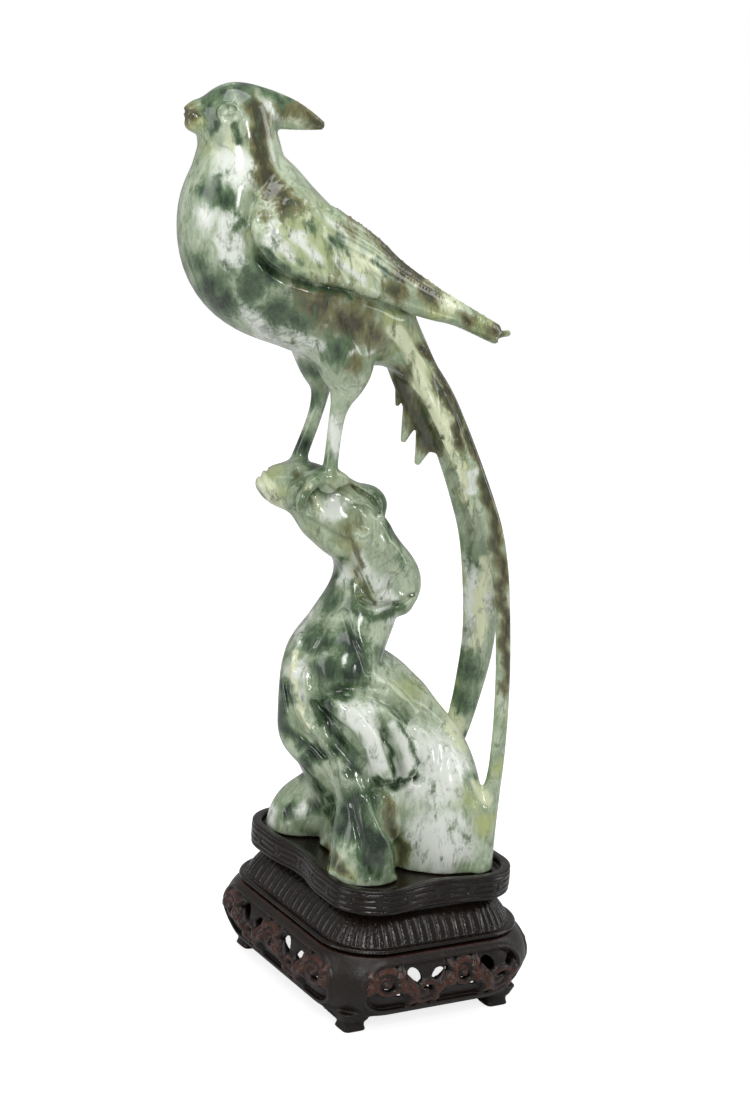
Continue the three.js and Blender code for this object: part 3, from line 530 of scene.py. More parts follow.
# Marks on the stone, placed over the photo, in its pixels: strength, radius, then the mark's place
# or its line's points, each across and down
STAINS_AND_SHADE = {
    "pale": [
        (0.6, 5, 286, 112, 298, 122), (1, 6, 397, 330, 415, 363, 430, 398, 440, 430),
        (1, 4, 442, 405, 449, 432, 454, 464), (1, 3.5, 458, 462, 466, 500), (0.7, 8, 350, 255, 385, 275),
        (0.9, 8, 425, 285, 450, 305), (0.7, 5, 405, 470, 425, 530, 432, 600), (0.8, 6, 262, 470, 276, 510),
        (0.8, 3, 307, 487, 318, 511), (0.7, 6, 484, 560, 478, 640), (0.6, 10, 440, 690, 462, 740),
        (0.7, 3, 294, 655, 294, 700, 310, 730), (0.6, 6, 478, 780, 486, 800), (0.5, 8, 235, 130, 236, 150),
    ],
    # Dark green of the stone; some thin lines here are painted shade along the grooves and under the wing.
    "dark": [
        (0.6, 6, 203, 100, 215, 98), (0.6, 4, 236, 128, 240, 140), (0.5, 4, 230, 190, 238, 230),
        (0.6, 4, 258, 262, 270, 280), (0.5, 4, 222, 262, 236, 280), (0.5, 5, 300, 365, 318, 372),
        (0.5, 5, 310, 226), (0.45, 5, 334, 240, 348, 250), (0.5, 4, 378, 262, 392, 276),
        (0.45, 5, 300, 266), (0.5, 5, 352, 456, 372, 476), (0.7, 7, 306, 452, 322, 470),
        (0.5, 6, 382, 500, 400, 540), (0.9, 12, 350, 800, 366, 840, 376, 866), (0.7, 6, 330, 800, 338, 830),
        # The first line below, under the wing's lower edge, is a painted shadow.
        (0.6, 3, 262, 248, 300, 282, 350, 295), (0.6, 12, 225, 94), (0.8, 9, 243, 88), (0.9, 11, 213, 190),
        (0.7, 8, 224, 200), (0.55, 12, 196, 262), (0.85, 16, 210, 286), (0.8, 14, 226, 304),
        (0.75, 15, 252, 288), (0.7, 12, 268, 268), (0.8, 13, 276, 312), (0.6, 10, 300, 320),
        (0.6, 12, 334, 352), (0.6, 9, 312, 398), (0.9, 12, 302, 442), (0.5, 10, 326, 462),
        (0.45, 12, 300, 492), (0.6, 8, 375, 494), (0.4, 14, 352, 606), (0.5, 12, 332, 604),
        (0.7, 14, 318, 640), (0.85, 15, 350, 646), (0.5, 10, 372, 652), (0.85, 14, 330, 668),
        (0.9, 14, 352, 672), (0.8, 10, 338, 690), (0.6, 14, 362, 800), (0.8, 14, 348, 828),
        (0.95, 14, 374, 850), (0.9, 6, 289, 812), (0.5, 9, 310, 775), (0.5, 8, 475, 560),
        (0.8, 14, 468, 668), (0.7, 12, 464, 700), (0.4, 7, 288, 700), (0.6, 9, 335, 745),
        (0.35, 9, 396, 560), (0.4, 8, 357, 585), (0.6, 5, 262, 88, 292, 101), (0.7, 6, 206, 108, 214, 128),
        # The thin lines from here to the list's end run along the rock's carved grooves: painted shade in
        # them.
        (0.8, 6, 322, 700, 338, 735, 356, 772), (0.9, 6, 284, 690, 282, 725, 300, 745, 318, 755),
        (0.8, 5, 305, 760, 318, 790, 316, 812), (0.6, 2, 376, 700, 393, 712, 407, 726, 410, 745, 416, 768),
        (0.6, 2, 384, 738, 391, 758, 396, 775), (0.7, 3, 376, 782, 400, 784, 418, 774),
        (0.5, 4, 470, 735, 482, 775), (0.6, 4, 318, 640, 304, 652), (0.6, 4, 400, 610, 380, 616, 350, 612),
        (0.55, 4, 340, 560, 330, 600),
    ],
    "brown": [
        (0.9, 4, 447, 395, 455, 420, 461, 445), (0.8, 3, 437, 380, 444, 398), (0.8, 5, 322, 852, 350, 874),
        (0.75, 9, 187, 112), (0.5, 8, 262, 214), (0.85, 11, 285, 203), (0.6, 8, 300, 200),
        (0.85, 20, 322, 305), (0.9, 20, 350, 320), (0.8, 12, 372, 336), (0.6, 9, 300, 290),
        (0.7, 9, 356, 362), (0.5, 8, 350, 228), (0.95, 13, 408, 274), (0.9, 10, 428, 292),
        (0.8, 11, 396, 290), (0.9, 6, 466, 319), (0.8, 8, 496, 333), (0.3, 6, 356, 768),
        (0.4, 12, 350, 532), (0.5, 7, 366, 588), (0.6, 8, 398, 852), (0.35, 10, 456, 690),
        (0.5, 9, 467, 655), (0.95, 7, 247, 92, 258, 118, 261, 140, 262, 168, 270, 188, 286, 196),
        (0.75, 9, 288, 103, 308, 116, 324, 122), (0.9, 7, 345, 200, 366, 222, 392, 250, 420, 276),
        (0.9, 9, 399, 378, 408, 405, 420, 432, 432, 446),
        (0.9, 5, 424, 345, 440, 372, 455, 398, 468, 425, 480, 455, 490, 500),
        (0.8, 5, 490, 500, 500, 560, 506, 640, 506, 690), (0.55, 3, 351, 540, 356, 560, 364, 588, 374, 600),
        (0.7, 6, 386, 800, 394, 828, 402, 862), (0.6, 5, 300, 478, 305, 500),
        (0.5, 1.6, 326, 486, 352, 487, 372, 500),
    ],
    "yellow": [
        (0.7, 14, 196, 118), (0.4, 10, 212, 150), (0.5, 7, 244, 236), (0.5, 40, 300, 240),
        (0.5, 30, 330, 250), (0.5, 22, 365, 270), (0.9, 14, 440, 303), (0.8, 8, 480, 324),
        (0.6, 10, 398, 345), (0.6, 12, 272, 470), (0.5, 10, 280, 490), (0.6, 6, 312, 497),
        (0.5, 7, 418, 330), (0.5, 14, 410, 690), (0.6, 14, 466, 800), (0.8, 10, 485, 822),
        (0.6, 8, 352, 872), (0.5, 8, 508, 720), (0.7, 8, 500, 770), (0.4, 8, 384, 360), (0.4, 8, 430, 870),
        (0.3, 30, 350, 470), (0.3, 30, 340, 540), (0.9, 7, 392, 318, 410, 345, 428, 388, 438, 420),
        (0.9, 5, 436, 372, 448, 410, 454, 455), (0.9, 5, 456, 450, 464, 480, 466, 500),
        (0.9, 4, 319, 850, 326, 864, 352, 876), (0.8, 4, 252, 124, 255, 150), (0.5, 12, 300, 104, 320, 120),
        (0.6, 10, 350, 548, 360, 590), (0.5, 8, 400, 470, 440, 600), (0.7, 6, 462, 560, 452, 700),
    ],
    "white": [
        (0.8, 5, 333, 322, 337, 335), (0.8, 6, 348, 345, 352, 362), (0.7, 4, 365, 345, 368, 352),
        (0.8, 6, 300, 338, 318, 348), (0.8, 5, 285, 355, 300, 352), (0.6, 5, 470, 470, 474, 490),
        (0.6, 6, 392, 620, 372, 600), (0.6, 6, 310, 600, 300, 640), (0.6, 7, 298, 238, 318, 256),
        (0.6, 7, 345, 262, 362, 276), (0.55, 6, 285, 246, 292, 258), (0.6, 6, 272, 222, 276, 236),
        (0.5, 5, 328, 222, 340, 232), (0.8, 7, 236, 225, 238, 262), (0.7, 9, 345, 706, 370, 728),
        (0.6, 7, 395, 725, 405, 755), (0.7, 5, 335, 418, 333, 452), (0.9, 18, 235, 168),
        (0.6, 14, 205, 212), (0.8, 14, 262, 345), (0.9, 12, 290, 332), (0.7, 7, 292, 292),
        (0.7, 7, 330, 326), (0.6, 12, 273, 240), (0.4, 10, 340, 238), (0.8, 10, 335, 430),
        (0.9, 11, 332, 506), (0.6, 8, 386, 580), (0.6, 12, 345, 575), (0.7, 12, 385, 602),
        (0.8, 10, 300, 672), (0.7, 9, 294, 700), (1, 30, 430, 770), (1, 26, 440, 840), (0.7, 18, 410, 740),
        (0.9, 9, 268, 815), (0.6, 8, 304, 812), (0.7, 14, 480, 600), (0.7, 7, 506, 600), (0.5, 6, 322, 700),
        (0.3, 8, 455, 520), (0.6, 12, 222, 180), (0.4, 6, 345, 330), (0.6, 10, 268, 112),
        (0.5, 8, 268, 158), (0.9, 8, 226, 215, 228, 262), (0.9, 9, 246, 300, 262, 328),
        (0.7, 5, 258, 460, 268, 500), (0.7, 10, 345, 706, 366, 716, 380, 770), (0.6, 6, 396, 728, 406, 765),
        (0.6, 8, 355, 560, 390, 600), (0.6, 8, 470, 560, 470, 640),
    ],
}
BEHIND_SLIP = 0.9
GRAIN_DEPTH = 12.0


def in_photo(x, y, z):
    """Where the carving's points are seen, in the photo's pixels, and how far behind its middle they lie."""
    c, s = math.cos(CAMERA_TURN), math.sin(CAMERA_TURN)
    behind = x * s + y * c
    right = x * c - y * s - CAMERA_AIM[0]
    rise = z - CAMERA_AIM[1]
    cp, sp = math.cos(CAMERA_PITCH), math.sin(CAMERA_PITCH)
    away = CAMERA_DISTANCE + behind * cp - rise * sp
    u = PHOTO_FOCAL * right / away
    v = PHOTO_FOCAL * (behind * sp + rise * cp) / away
    cr, sr = math.cos(CAMERA_ROLL), math.sin(CAMERA_ROLL)
    return PHOTO_SIZE[0] / 2 + u * cr + v * sr, PHOTO_SIZE[1] / 2 + u * sr - v * cr, behind


def line_distance(px, py, line):
    """Distance to a line in the photo, below 0 on the left of a line that runs down the picture."""
    if len(line) == 1:
        return np.hypot(px - line[0][0], py - line[0][1])
    nearest = np.full(px.shape, 1e4)
    signed = np.full(px.shape, 1e4)
    for (ax, ay), (bx, by) in zip(line[:-1], line[1:]):
        tx, ty = bx - ax, by - ay
        t = np.clip(((px - ax) * tx + (py - ay) * ty) / (tx * tx + ty * ty), 0, 1)
        ox, oy = px - ax - t * tx, py - ay - t * ty
        d = np.hypot(ox, oy)
        closer = d < nearest
        nearest = np.where(closer, d, nearest)
        signed = np.where(closer, np.where(tx * oy - ty * ox > 0, -d, d), signed)
    return signed


# Carving strokes, in the photo's pixels: depth cut in mm, widths to the left and right, then its points
ROCK_STROKES = [
    (2.4, 7, 6, 312, 672, 320, 705, 336, 738, 358, 768, 368, 790),
    (2.6, 6, 1.2, 316, 702, 334, 718, 351, 731, 364, 750, 370, 775, 382, 787),
    (-1.6, 8, 8, 332, 700, 356, 712, 372, 735, 380, 762, 386, 778),
    (-1.2, 6, 6, 384, 712, 398, 735, 402, 755, 408, 770),
    (1.8, 2, 6, 322, 696, 346, 690, 372, 697, 394, 709, 408, 724),
    (2.4, 2.2, 2.2, 374, 704, 384, 724, 384, 745, 392, 768, 396, 782),
    (2.4, 1.2, 6, 402, 712, 410, 735, 410, 752, 418, 770, 414, 778),
    (2.6, 5, 1.5, 378, 786, 396, 785, 414, 777),
    (2.4, 3.5, 1.1, 287, 680, 288, 690, 291, 706, 300, 728, 313, 742, 326, 756),
    (-1.4, 2.4, 2.6, 300, 634, 292, 656, 292, 680, 296, 704, 306, 724, 324, 742, 338, 760, 346, 780),
    (2, 5, 2, 310, 752, 323, 770, 331, 790, 331, 812, 323, 832, 313, 848),
    (3, 3, 8, 372, 790, 376, 812, 388, 835, 396, 852, 397, 872),
    (1.5, 3, 3, 350, 790, 356, 820, 364, 850, 368, 875),
    (0.7, 2, 2, 412, 722, 428, 732, 438, 745, 438, 765, 430, 785),
    (0.7, 2, 2, 420, 716, 438, 728, 448, 745, 446, 768),
    (1.4, 6, 2, 448, 735, 458, 755, 468, 780, 474, 800),
    (1.6, 3, 3, 345, 688, 365, 686, 385, 690),
    (1.4, 3, 3, 345, 612, 352, 632, 362, 655, 368, 672),
    (1.4, 3, 3, 325, 615, 322, 640, 312, 658, 300, 668),
    (3, 3, 1.5, 362, 598, 378, 604, 400, 602, 412, 594),
    (2.6, 8, 2.5, 312, 520, 330, 533, 350, 542, 355, 560, 364, 590, 372, 602),
    (2.6, 10, 10, 370, 552, 382, 570, 396, 590),
    (2.2, 11, 11, 330, 500, 345, 512, 360, 525),
    (2, 5, 1.4, 315, 486, 336, 484, 355, 487, 372, 498, 379, 510),
    (1.2, 1.6, 1.6, 266, 468, 272, 485, 280, 500),
    (1, 1.6, 1.6, 258, 466, 262, 482, 270, 497),
    (1.8, 3, 3, 298, 472, 304, 490, 312, 512),
    (0.8, 2.5, 2.5, 284, 800, 288, 820),
]
# The same kind of strokes on the bird
BIRD_STROKES = [
    (2.6, 6, 1.2, 254, 200, 250, 222, 255, 244, 269, 264, 288, 276, 322, 285, 344, 290, 372, 300, 400, 309),
    (1.3, 1.2, 1.2, 182, 111, 192, 112, 203, 117),
    (1.6, 8, 1.5, 268, 182, 256, 196, 252, 214),
    (1.2, 3, 3, 330, 300, 350, 330, 362, 352),
    (1.2, 1.2, 4, 411, 336, 429, 366, 441, 396, 443, 438),
    (1.1, 4, 1.2, 392, 342, 409, 373, 425, 405, 440, 440),
    (1, 1, 3, 440, 392, 452, 428, 456, 468),
    (1, 3, 1, 438, 442, 446, 456, 454, 472),
    (1, 1, 3, 457, 450, 467, 480, 468, 505),
    (1, 3, 1, 452, 474, 459, 492, 466, 507),
    (-0.6, 1.1, 1.1, 400, 340, 418, 370, 431, 400, 440, 430),
    (1.2, 1.2, 3, 424, 352, 446, 392, 460, 420, 472, 458, 474, 490),
]
# Curls on the wing's shoulder: middle and radius in the photo's pixels, and which way each winds
WING_CURLS = [
    (266, 196, 8, 1), (258, 214, 7, -1), (276, 211, 8, -1), (291, 204, 7, 1), (302, 217, 7, -1),
    (284, 229, 7, 1), (267, 233, 7, -1), (311, 203, 6, 1),
]
CURL_PROUD = 0.75
CURL_WIDTH = 1.3
CURL_STEPS = 16
CURL_SHRINK = 0.78
# Strokes reach this far into the stone, and end this far behind the carving's middle
STROKE_SKIN = 5.0
STROKE_BACK = 6.0
STROKE_FADE = 5.0


def curl_stroke(px, py, radius, hand):
    """A raised line that winds one and a half turns inward."""
    line = []
    for k in range(CURL_STEPS + 1):
        step = k / CURL_STEPS
        angle = hand * (3 * math.pi * step + 0.6)
        reach = radius * (1 - CURL_SHRINK * step)
        line += [px + reach * math.cos(angle), py + reach * math.sin(angle)]
    return (-CURL_PROUD, CURL_WIDTH, CURL_WIDTH, *line)


def points_of(line):
    """The points of a line written as across, down, across, down."""
    return list(zip(line[::2], line[1::2]))


def carve_strokes(field, strokes):
    """Cuts strokes into the front of what has been carved so far."""
    skin = np.nonzero(np.abs(field.d) < STROKE_SKIN)
    x, y, z = (field.low[k] + field.voxel * skin[k] for k in range(3))
    px, py, behind = in_photo(x, y, z)
    front = np.clip((STROKE_BACK - behind) / STROKE_FADE, 0, 1)
    cut = np.zeros(len(px))
    for depth, left, right, *line in strokes:
        reach = 3 * max(left, right)
        beside = (px > min(line[::2]) - reach) & (px < max(line[::2]) + reach)
        level = (py > min(line[1::2]) - reach) & (py < max(line[1::2]) + reach)
        near = np.nonzero(beside & level & (front > 0))[0]
        signed = line_distance(px[near], py[near], points_of(line))
        cut[near] += depth * bump(signed, np.where(signed < 0, left, right))
    field.d[skin] += (cut * front).astype(np.float32)


def stain_and_shade_strength(points, marks):
    """How strongly the marks of one kind show at each point, with edges that wander; most are stains, and
    some thin dark lines are painted shade.
    """
    x, y, z = points.T
    px, py, behind = in_photo(x, y, z)
    slip = np.maximum(behind - GRAIN_DEPTH, 0) * BEHIND_SLIP
    px = px + 2.5 * np.sin(0.31 * z + 0.12 * behind) + 1.5 * np.sin(0.83 * z + 0.4 * x) + slip
    py = py + 2.5 * np.sin(0.11 * px + 0.2 * behind) + 1.5 * np.sin(0.37 * px - 0.3 * y) + slip
    shown = np.zeros(len(points))
    for strength, radius, *line in marks:
        away = line_distance(px, py, points_of(line)) / radius
        shown = np.maximum(shown, strength * np.exp(-0.6 * away**2))
    return shown


def paint_stains_and_shade(piece):
    points = corners_of(piece.data)
    for kind, places in STAINS_AND_SHADE.items():
        write_attribute(piece.data, kind, stain_and_shade_strength(points, places))


def node(tree, kind, inputs=None, **settings):
    """A shader node with its inputs set, or linked where a socket is given."""
    made = tree.nodes.new(kind)
    for name, value in settings.items():
        setattr(made, name, value)
    for key, value in (inputs or {}).items():
        if isinstance(value, bpy.types.NodeSocket):
            tree.links.new(value, made.inputs[key])
        else:
            made.inputs[key].default_value = value
    return made


def noise(tree, where, size_mm, detail=5.0, roughness=0.6, distortion=0.0):
    """Noise with features of about the given size."""
    inputs = {"Vector": where, "Scale": 1 / (size_mm * MM), "Detail": detail, "Roughness": roughness}
    return node(tree, "ShaderNodeTexNoise", {**inputs, "Distortion": distortion}).outputs["Fac"]


def calc(tree, operation, a, b=0.0, c=0.0):
    return node(tree, "ShaderNodeMath", {0: a, 1: b, 2: c}, operation=operation).outputs[0]


def fade(tree, value, low, high):
    """0 below low and 1 above high, smooth between."""
    inputs = {"Value": value, "From Min": low, "From Max": high}
    return node(tree, "ShaderNodeMapRange", inputs, interpolation_type="SMOOTHSTEP").outputs["Result"]


def stretched(tree, where, scale):
    return node(tree, "ShaderNodeMapping", {"Vector": where, "Scale": scale}).outputs["Vector"]


def blend_colour(tree, share, a, b):
    made = node(tree, "ShaderNodeMix", {0: share}, data_type="RGBA")
    for index, colour in ((6, a), (7, b)):
        if isinstance(colour, bpy.types.NodeSocket):
            tree.links.new(colour, made.inputs[index])
        else:
            made.inputs[index].default_value = (*colour, 1)
    return made.outputs[2]


def new_material(name):
    material = bpy.data.materials.new(name)
    material.use_nodes = True
    return material, material.node_tree, material.node_tree.nodes["Principled BSDF"]


def attribute(tree, name):
    return node(tree, "ShaderNodeAttribute", attribute_name=name).outputs["Fac"]


# Coats over the jade's ground, in order: the mark, how much the mottling breaks it up, where it starts and
# is full, and its colour
JADE_COATS = [
    ("yellow", 1.6, (0.05, 0.7), (0.47, 0.53, 0.24)),
    ("white", 1.6, (0.15, 0.6), (0.88, 0.92, 0.84)),
    ("pale", 1.2, (0.15, 0.55), (0.78, 0.83, 0.57)),
    ("brown", 2.6, (0.05, 0.5), (0.20, 0.195, 0.085)),
    ("brown", 2.6, (0.42, 0.85), (0.060, 0.056, 0.026)),
    # The dark mark gives the stone's dark green and also the painted shade along the grooves.
    ("dark", 2.6, (0.0, 0.48), (0.12, 0.20, 0.10)),
    ("dark", 2.6, (0.34, 0.9), (0.014, 0.032, 0.018)),
]


def jade_material():
    """Polished stone, milky white and grey-green, with dark veins, brown and yellow-green stains, and dark
    green that also paints shade along the grooves and under the wing's edge.
    """
    material, tree, shader = new_material("polished_jade")
    where = node(tree, "ShaderNodeTexCoord").outputs["Object"]
    streaked = stretched(tree, where, (1.0, 1.0, 0.45))
    broad = noise(tree, where, 26, 4, 0.6, 0.6)
    middle = noise(tree, streaked, 9, 9, 0.68, 0.9)
    small = noise(tree, streaked, 3.6, 8, 0.72, 0.6)
    fine = noise(tree, where, 1.4, 5, 0.7)
    mottle = calc(tree, "ADD", calc(tree, "MULTIPLY", middle, 0.55), calc(tree, "MULTIPLY", small, 0.45))
    cloud = calc(tree, "ADD", calc(tree, "MULTIPLY", broad, 0.5), calc(tree, "MULTIPLY", small, 0.5))

    colour = blend_colour(tree, fade(tree, cloud, 0.38, 0.6), (0.25, 0.34, 0.20), (0.62, 0.71, 0.53))
    for mark, swing, (first, full), coat in JADE_COATS:
        centred = calc(tree, "SUBTRACT", attribute(tree, mark), swing / 2)
        edge = calc(tree, "MULTIPLY_ADD", mottle, swing, centred)
        colour = blend_colour(tree, fade(tree, edge, first, full), colour, coat)

    vein = calc(tree, "ABSOLUTE", calc(tree, "SUBTRACT", noise(tree, streaked, 16, 5, 0.55, 1.0), 0.5))
    line = calc(tree, "SUBTRACT", 1.0, fade(tree, vein, 0.0, 0.035))
    vein = calc(tree, "MULTIPLY", line, fade(tree, broad, 0.44, 0.6))
    colour = blend_colour(tree, calc(tree, "MULTIPLY", vein, 0.4), colour, (0.06, 0.11, 0.05))
    near_dark = calc(tree, "MULTIPLY_ADD", middle, 0.8, attribute(tree, "dark"))
    speck = calc(tree, "MULTIPLY", fade(tree, fine, 0.5, 0.66), fade(tree, near_dark, 0.45, 0.9))
    colour = blend_colour(tree, calc(tree, "MULTIPLY", speck, 0.7), colour, (0.06, 0.085, 0.04))

    tree.links.new(colour, shader.inputs["Base Color"])
    shader.inputs["Roughness"].default_value = 0.16
    shader.inputs["IOR"].default_value = 1.6
    shader.inputs["Coat Weight"].default_value = 0.35
    shader.inputs["Coat Roughness"].default_value = 0.04
    shader.inputs["Subsurface Weight"].default_value = 0.2
    shader.inputs["Subsurface Radius"].default_value = (1.0, 1.0, 0.8)
    shader.inputs["Subsurface Scale"].default_value = 0.0025
    polish = {"Height": noise(tree, where, 6, 3, 0.5), "Strength": 0.12, "Distance": 0.0006}
    tree.links.new(node(tree, "ShaderNodeBump", polish).outputs["Normal"], shader.inputs["Normal"])
    return material


# Quarters of the stand's outline, measured along the bead from the middle of its right side
STRAIGHT_X = BEAD_X - 2 * BEAD_CORNER
STRAIGHT_Y = BEAD_Y - 2 * BEAD_CORNER
CORNER_ARC = math.pi / 2 * BEAD_CORNER
OUTLINE = 2 * (STRAIGHT_X + STRAIGHT_Y) + 4 * CORNER_ARC
BEAD_LINE_Z = BEAD_Z + 0.8
PANEL_LOW = FOOT_Z + RAIL
PANEL_HIGH = BELT_TOP - 1
PANEL_MIDDLE = (PANEL_LOW + PANEL_HIGH) / 2
PANEL_RIM = 0.9
VINE_STEP = 0.3
VINE_RUN_ON = 2
VINE_STEM = 2.0
VINE_BAR = 1.9
VINE_CURL = 6.0
VINE_WIND = 7.2
VINE_PROUD = -0.2
# Holes through the plate behind the vine: place along a curl's span, stretch, rise and size as a share
HOLE_SIZE = 5.0
PLATE_HOLES = [(0.14, 0.8, 2.4, 1), (0.86, 0.8, 1.2, 1)]
MIDDLE_HOLE = (0.5, 1.3, 0.9, 0.55)


def outline_place(x, y):
    """How far each point lies outside the bead's outline, and how far round the outline it is."""
    ax, ay = STRAIGHT_X / 2, STRAIGHT_Y / 2
    qx, qy = np.abs(x) - ax, np.abs(y) - ay
    outside = past_box(qx, qy) - BEAD_CORNER
    quarter = OUTLINE / 4
    angle = np.arctan2(np.maximum(qy, 0), np.maximum(qx, 1e-6))
    on_end = ay + BEAD_CORNER * angle
    on_side = quarter - np.clip(np.abs(x), 0, ax)
    first = np.where(qx > 0, np.where(qy > 0, on_end, np.clip(np.abs(y), 0, ay)), on_side)
    first = np.where((qx <= 0) & (qy <= 0), np.where(qx > qy, np.abs(y), quarter - np.abs(x)), first)
    half = np.where(x >= 0, first, OUTLINE / 2 - first)
    return outside, np.where(y >= 0, half, OUTLINE - half)


def belt_grow(z):
    share = np.clip((z - FOOT_Z) / (BEAD_Z - FOOT_Z), 0, 1)
    return BELT_BULGE * np.sin(math.pi * share**1.1) ** 0.8 - BELT_TUCK * (1 - share)


def side_place(round_place, side):
    """How far along one side's panel a place round the outline is, from the panel's middle."""
    return (round_place - side * OUTLINE / 4 + OUTLINE / 2) % OUTLINE - OUTLINE / 2


def panel_half(side):
    return (STRAIGHT_X if side % 2 else STRAIGHT_Y) / 2 + CORNER_ARC / 2 - POST_WIDTH / 2


def panel_bends(side):
    return 4 if side % 2 else 5


def panel_distance(along, z, side):
    """Distance to the edge of a panel's rounded opening, negative inside it."""
    dx = np.abs(along) - panel_half(side) + PANEL_CORNER
    dz = np.abs(z - PANEL_MIDDLE) - (PANEL_HIGH - PANEL_LOW) / 2 + PANEL_CORNER
    return past_box(dx, dz) - PANEL_CORNER


def vine_strokes(side):
    """The pierced vine of one panel as strokes of points (along, up, half width)."""
    half = panel_half(side)
    reach = half + VINE_RUN_ON
    bends = panel_bends(side)
    wave = (PANEL_HIGH - PANEL_LOW) / 2 - 1.6
    steps = np.linspace(0, 1, 24 * bends + 1)
    rise = PANEL_MIDDLE + wave * np.sin(math.pi * bends * steps)
    strokes = [np.stack([reach * (2 * steps - 1), rise, VINE_STEM + 0 * steps], 1)]
    t = np.linspace(0, 1, 36)
    for b in range(bends):
        up = 1 if b % 2 == 0 else -1
        x, z = reach * ((2 * b + 1) / bends - 1), PANEL_MIDDLE + up * (wave - 5.4)
        angle = up * (math.pi / 2 - VINE_WIND * t)
        radius = VINE_CURL * (1 - 0.66 * t)
        curl = np.stack([x + radius * np.cos(angle), z + radius * np.sin(angle), VINE_BAR - 0.6 * t], 1)
        ball = np.array([[x + 0.2, z, VINE_BAR], [x - 0.2, z, VINE_BAR]])
        strokes += [curl, ball, *vine_leaves((x, z), up, half)]
    return strokes


def vine_leaves(centre, up, half):
    """Leaf lobes that fill the corners round one curl."""
    leaves = []
    t = np.linspace(0, 1, 12)
    width = 0.5 + 2.3 * np.sin(math.pi * t**0.75)
    for hand in (-1, 1):
        for reach, rise, bend in ((8.5, -7.5, 3.0), (10.5, -3.2, -2.2), (7.5, 6.0, 2.0)):
            x = centre[0] + hand * (3.6 + (reach - 3.6) * t)
            z = centre[1] + up * (rise * t + bend * np.sin(math.pi * t) * 0.6)
            keep = (np.abs(x) < half + 1) & (z > PANEL_LOW - 1.5) & (z < PANEL_HIGH + 1.5)
            if keep.sum() > 3:
                leaves.append(np.stack([x, z, width], 1)[keep])
    return leaves


def plate_distance(outside, along, z, side):
    """A thin plate behind the vine, pierced on both sides of every curl."""
    plate = np.abs(outside - belt_grow(z) + BELT_WALL * 0.62) - 0.8
    plate = np.maximum(plate, panel_distance(along, z, side) - 1)
    reach = panel_half(side) + VINE_RUN_ON
    spacing = 2 * reach / panel_bends(side)
    place = (along + reach) / spacing
    share = place - np.floor(place)
    at, stretch, rise, size = MIDDLE_HOLE
    up = 1 - 2 * (np.floor(place) % 2)
    holes = np.hypot((share - at) * spacing / stretch, z - PANEL_MIDDLE - rise * up) - HOLE_SIZE * size
    for at, stretch, rise, size in PLATE_HOLES:
        hole = np.hypot((share - at) * spacing / stretch, z - PANEL_MIDDLE - rise) - HOLE_SIZE * size
        holes = np.minimum(holes, hole)
    return soft_max(plate, -holes * 0.8, 0.5)


def vine_map(side):
    """Distance to the middle line of the nearest stroke, and that stroke's half width, over one panel."""
    half = panel_half(side) + 4
    xs = np.arange(-half, half, VINE_STEP)
    zs = np.arange(PANEL_LOW - 4, PANEL_HIGH + 4, VINE_STEP)
    gx, gz = np.meshgrid(xs, zs, indexing="ij")
    nearest = np.full(gx.shape, 20.0)
    middle = np.full(gx.shape, 20.0)
    width = np.ones(gx.shape)
    for stroke in vine_strokes(side):
        for (ax, az, aw), (bx, bz, bw) in zip(stroke[:-1], stroke[1:]):
            length2 = (bx - ax) ** 2 + (bz - az) ** 2 + 1e-9
            t = np.clip(((gx - ax) * (bx - ax) + (gz - az) * (bz - az)) / length2, 0, 1)
            d = np.hypot(gx - ax - t * (bx - ax), gz - az - t * (bz - az))
            w = aw + (bw - aw) * t
            closer = d - w < nearest
            nearest = np.where(closer, d - w, nearest)
            middle = np.where(closer, d, middle)
            width = np.where(closer, w, width)
    return xs[0], zs[0], middle, width


def sampled(grid, low_x, low_z, along, z):
    """Values of a panel's map at other places, between its grid points."""
    i = np.clip((along - low_x) / VINE_STEP, 0, grid.shape[0] - 1.001)
    j = np.clip((z - low_z) / VINE_STEP, 0, grid.shape[1] - 1.001)
    i0, j0 = i.astype(int), j.astype(int)
    fi, fj = i - i0, j - j0
    near = grid[i0, j0] * (1 - fj) + grid[i0, j0 + 1] * fj
    far = grid[i0 + 1, j0] * (1 - fj) + grid[i0 + 1, j0 + 1] * fj
    return near * (1 - fi) + far * fi


def vine_distance(outside, along, z, maps):
    """Distance to the vine's round bars, and how near the crest of a bar each point is."""
    low_x, low_z, middle, width = maps
    d = sampled(middle, low_x, low_z, along, z)
    w = sampled(width, low_x, low_z, along, z)
    out = (outside - belt_grow(z) + BELT_WALL / 2 - VINE_PROUD) / 1.25
    return np.hypot(d, out) - w, np.clip(1 - d / w, 0, 1) * np.clip(0.5 + out / w, 0, 1)


def tray_grow(round_place):
    quarter = (round_place / (OUTLINE / 4)) % 1 - 0.5
    near_middle = np.maximum(0, 1 - (0.5 - np.abs(quarter)) / 0.24)
    return TRAY_GROW - TRAY_DIP * (0.5 - 0.5 * np.cos(math.pi * near_middle))


TRAY_LINES = 4
FRET_CELLS = 24
FRET_GAP = 1.2
FRET_DEPTH = 0.8
FRET_WIDTH = 0.38


def fret(round_place, z):
    """Grooves round the tray's side, nested in groups like a key pattern: 1 in a groove."""
    low, high = TRAY_BOTTOM + 1.9, TRAY_TOP - 1.5
    pitch = (high - low) / (TRAY_LINES - 1)
    cell_length = OUTLINE / FRET_CELLS
    from_end = (0.5 - np.abs((round_place / cell_length) % 1 - 0.5)) * cell_length
    cut = np.maximum(bump(z - low, FRET_WIDTH), bump(z - high, FRET_WIDTH))
    shown = np.clip((from_end - FRET_GAP) / 0.5, 0, 1)
    for line in range(1, TRAY_LINES - 1):
        cut = np.maximum(cut, bump(z - low - pitch * line, FRET_WIDTH) * shown)
    span = np.clip((z - low - pitch + 0.4) / 0.4, 0, 1) * np.clip((high - pitch + 0.4 - z) / 0.4, 0, 1)
    return np.maximum(cut, bump(from_end - FRET_GAP, FRET_WIDTH) * span)


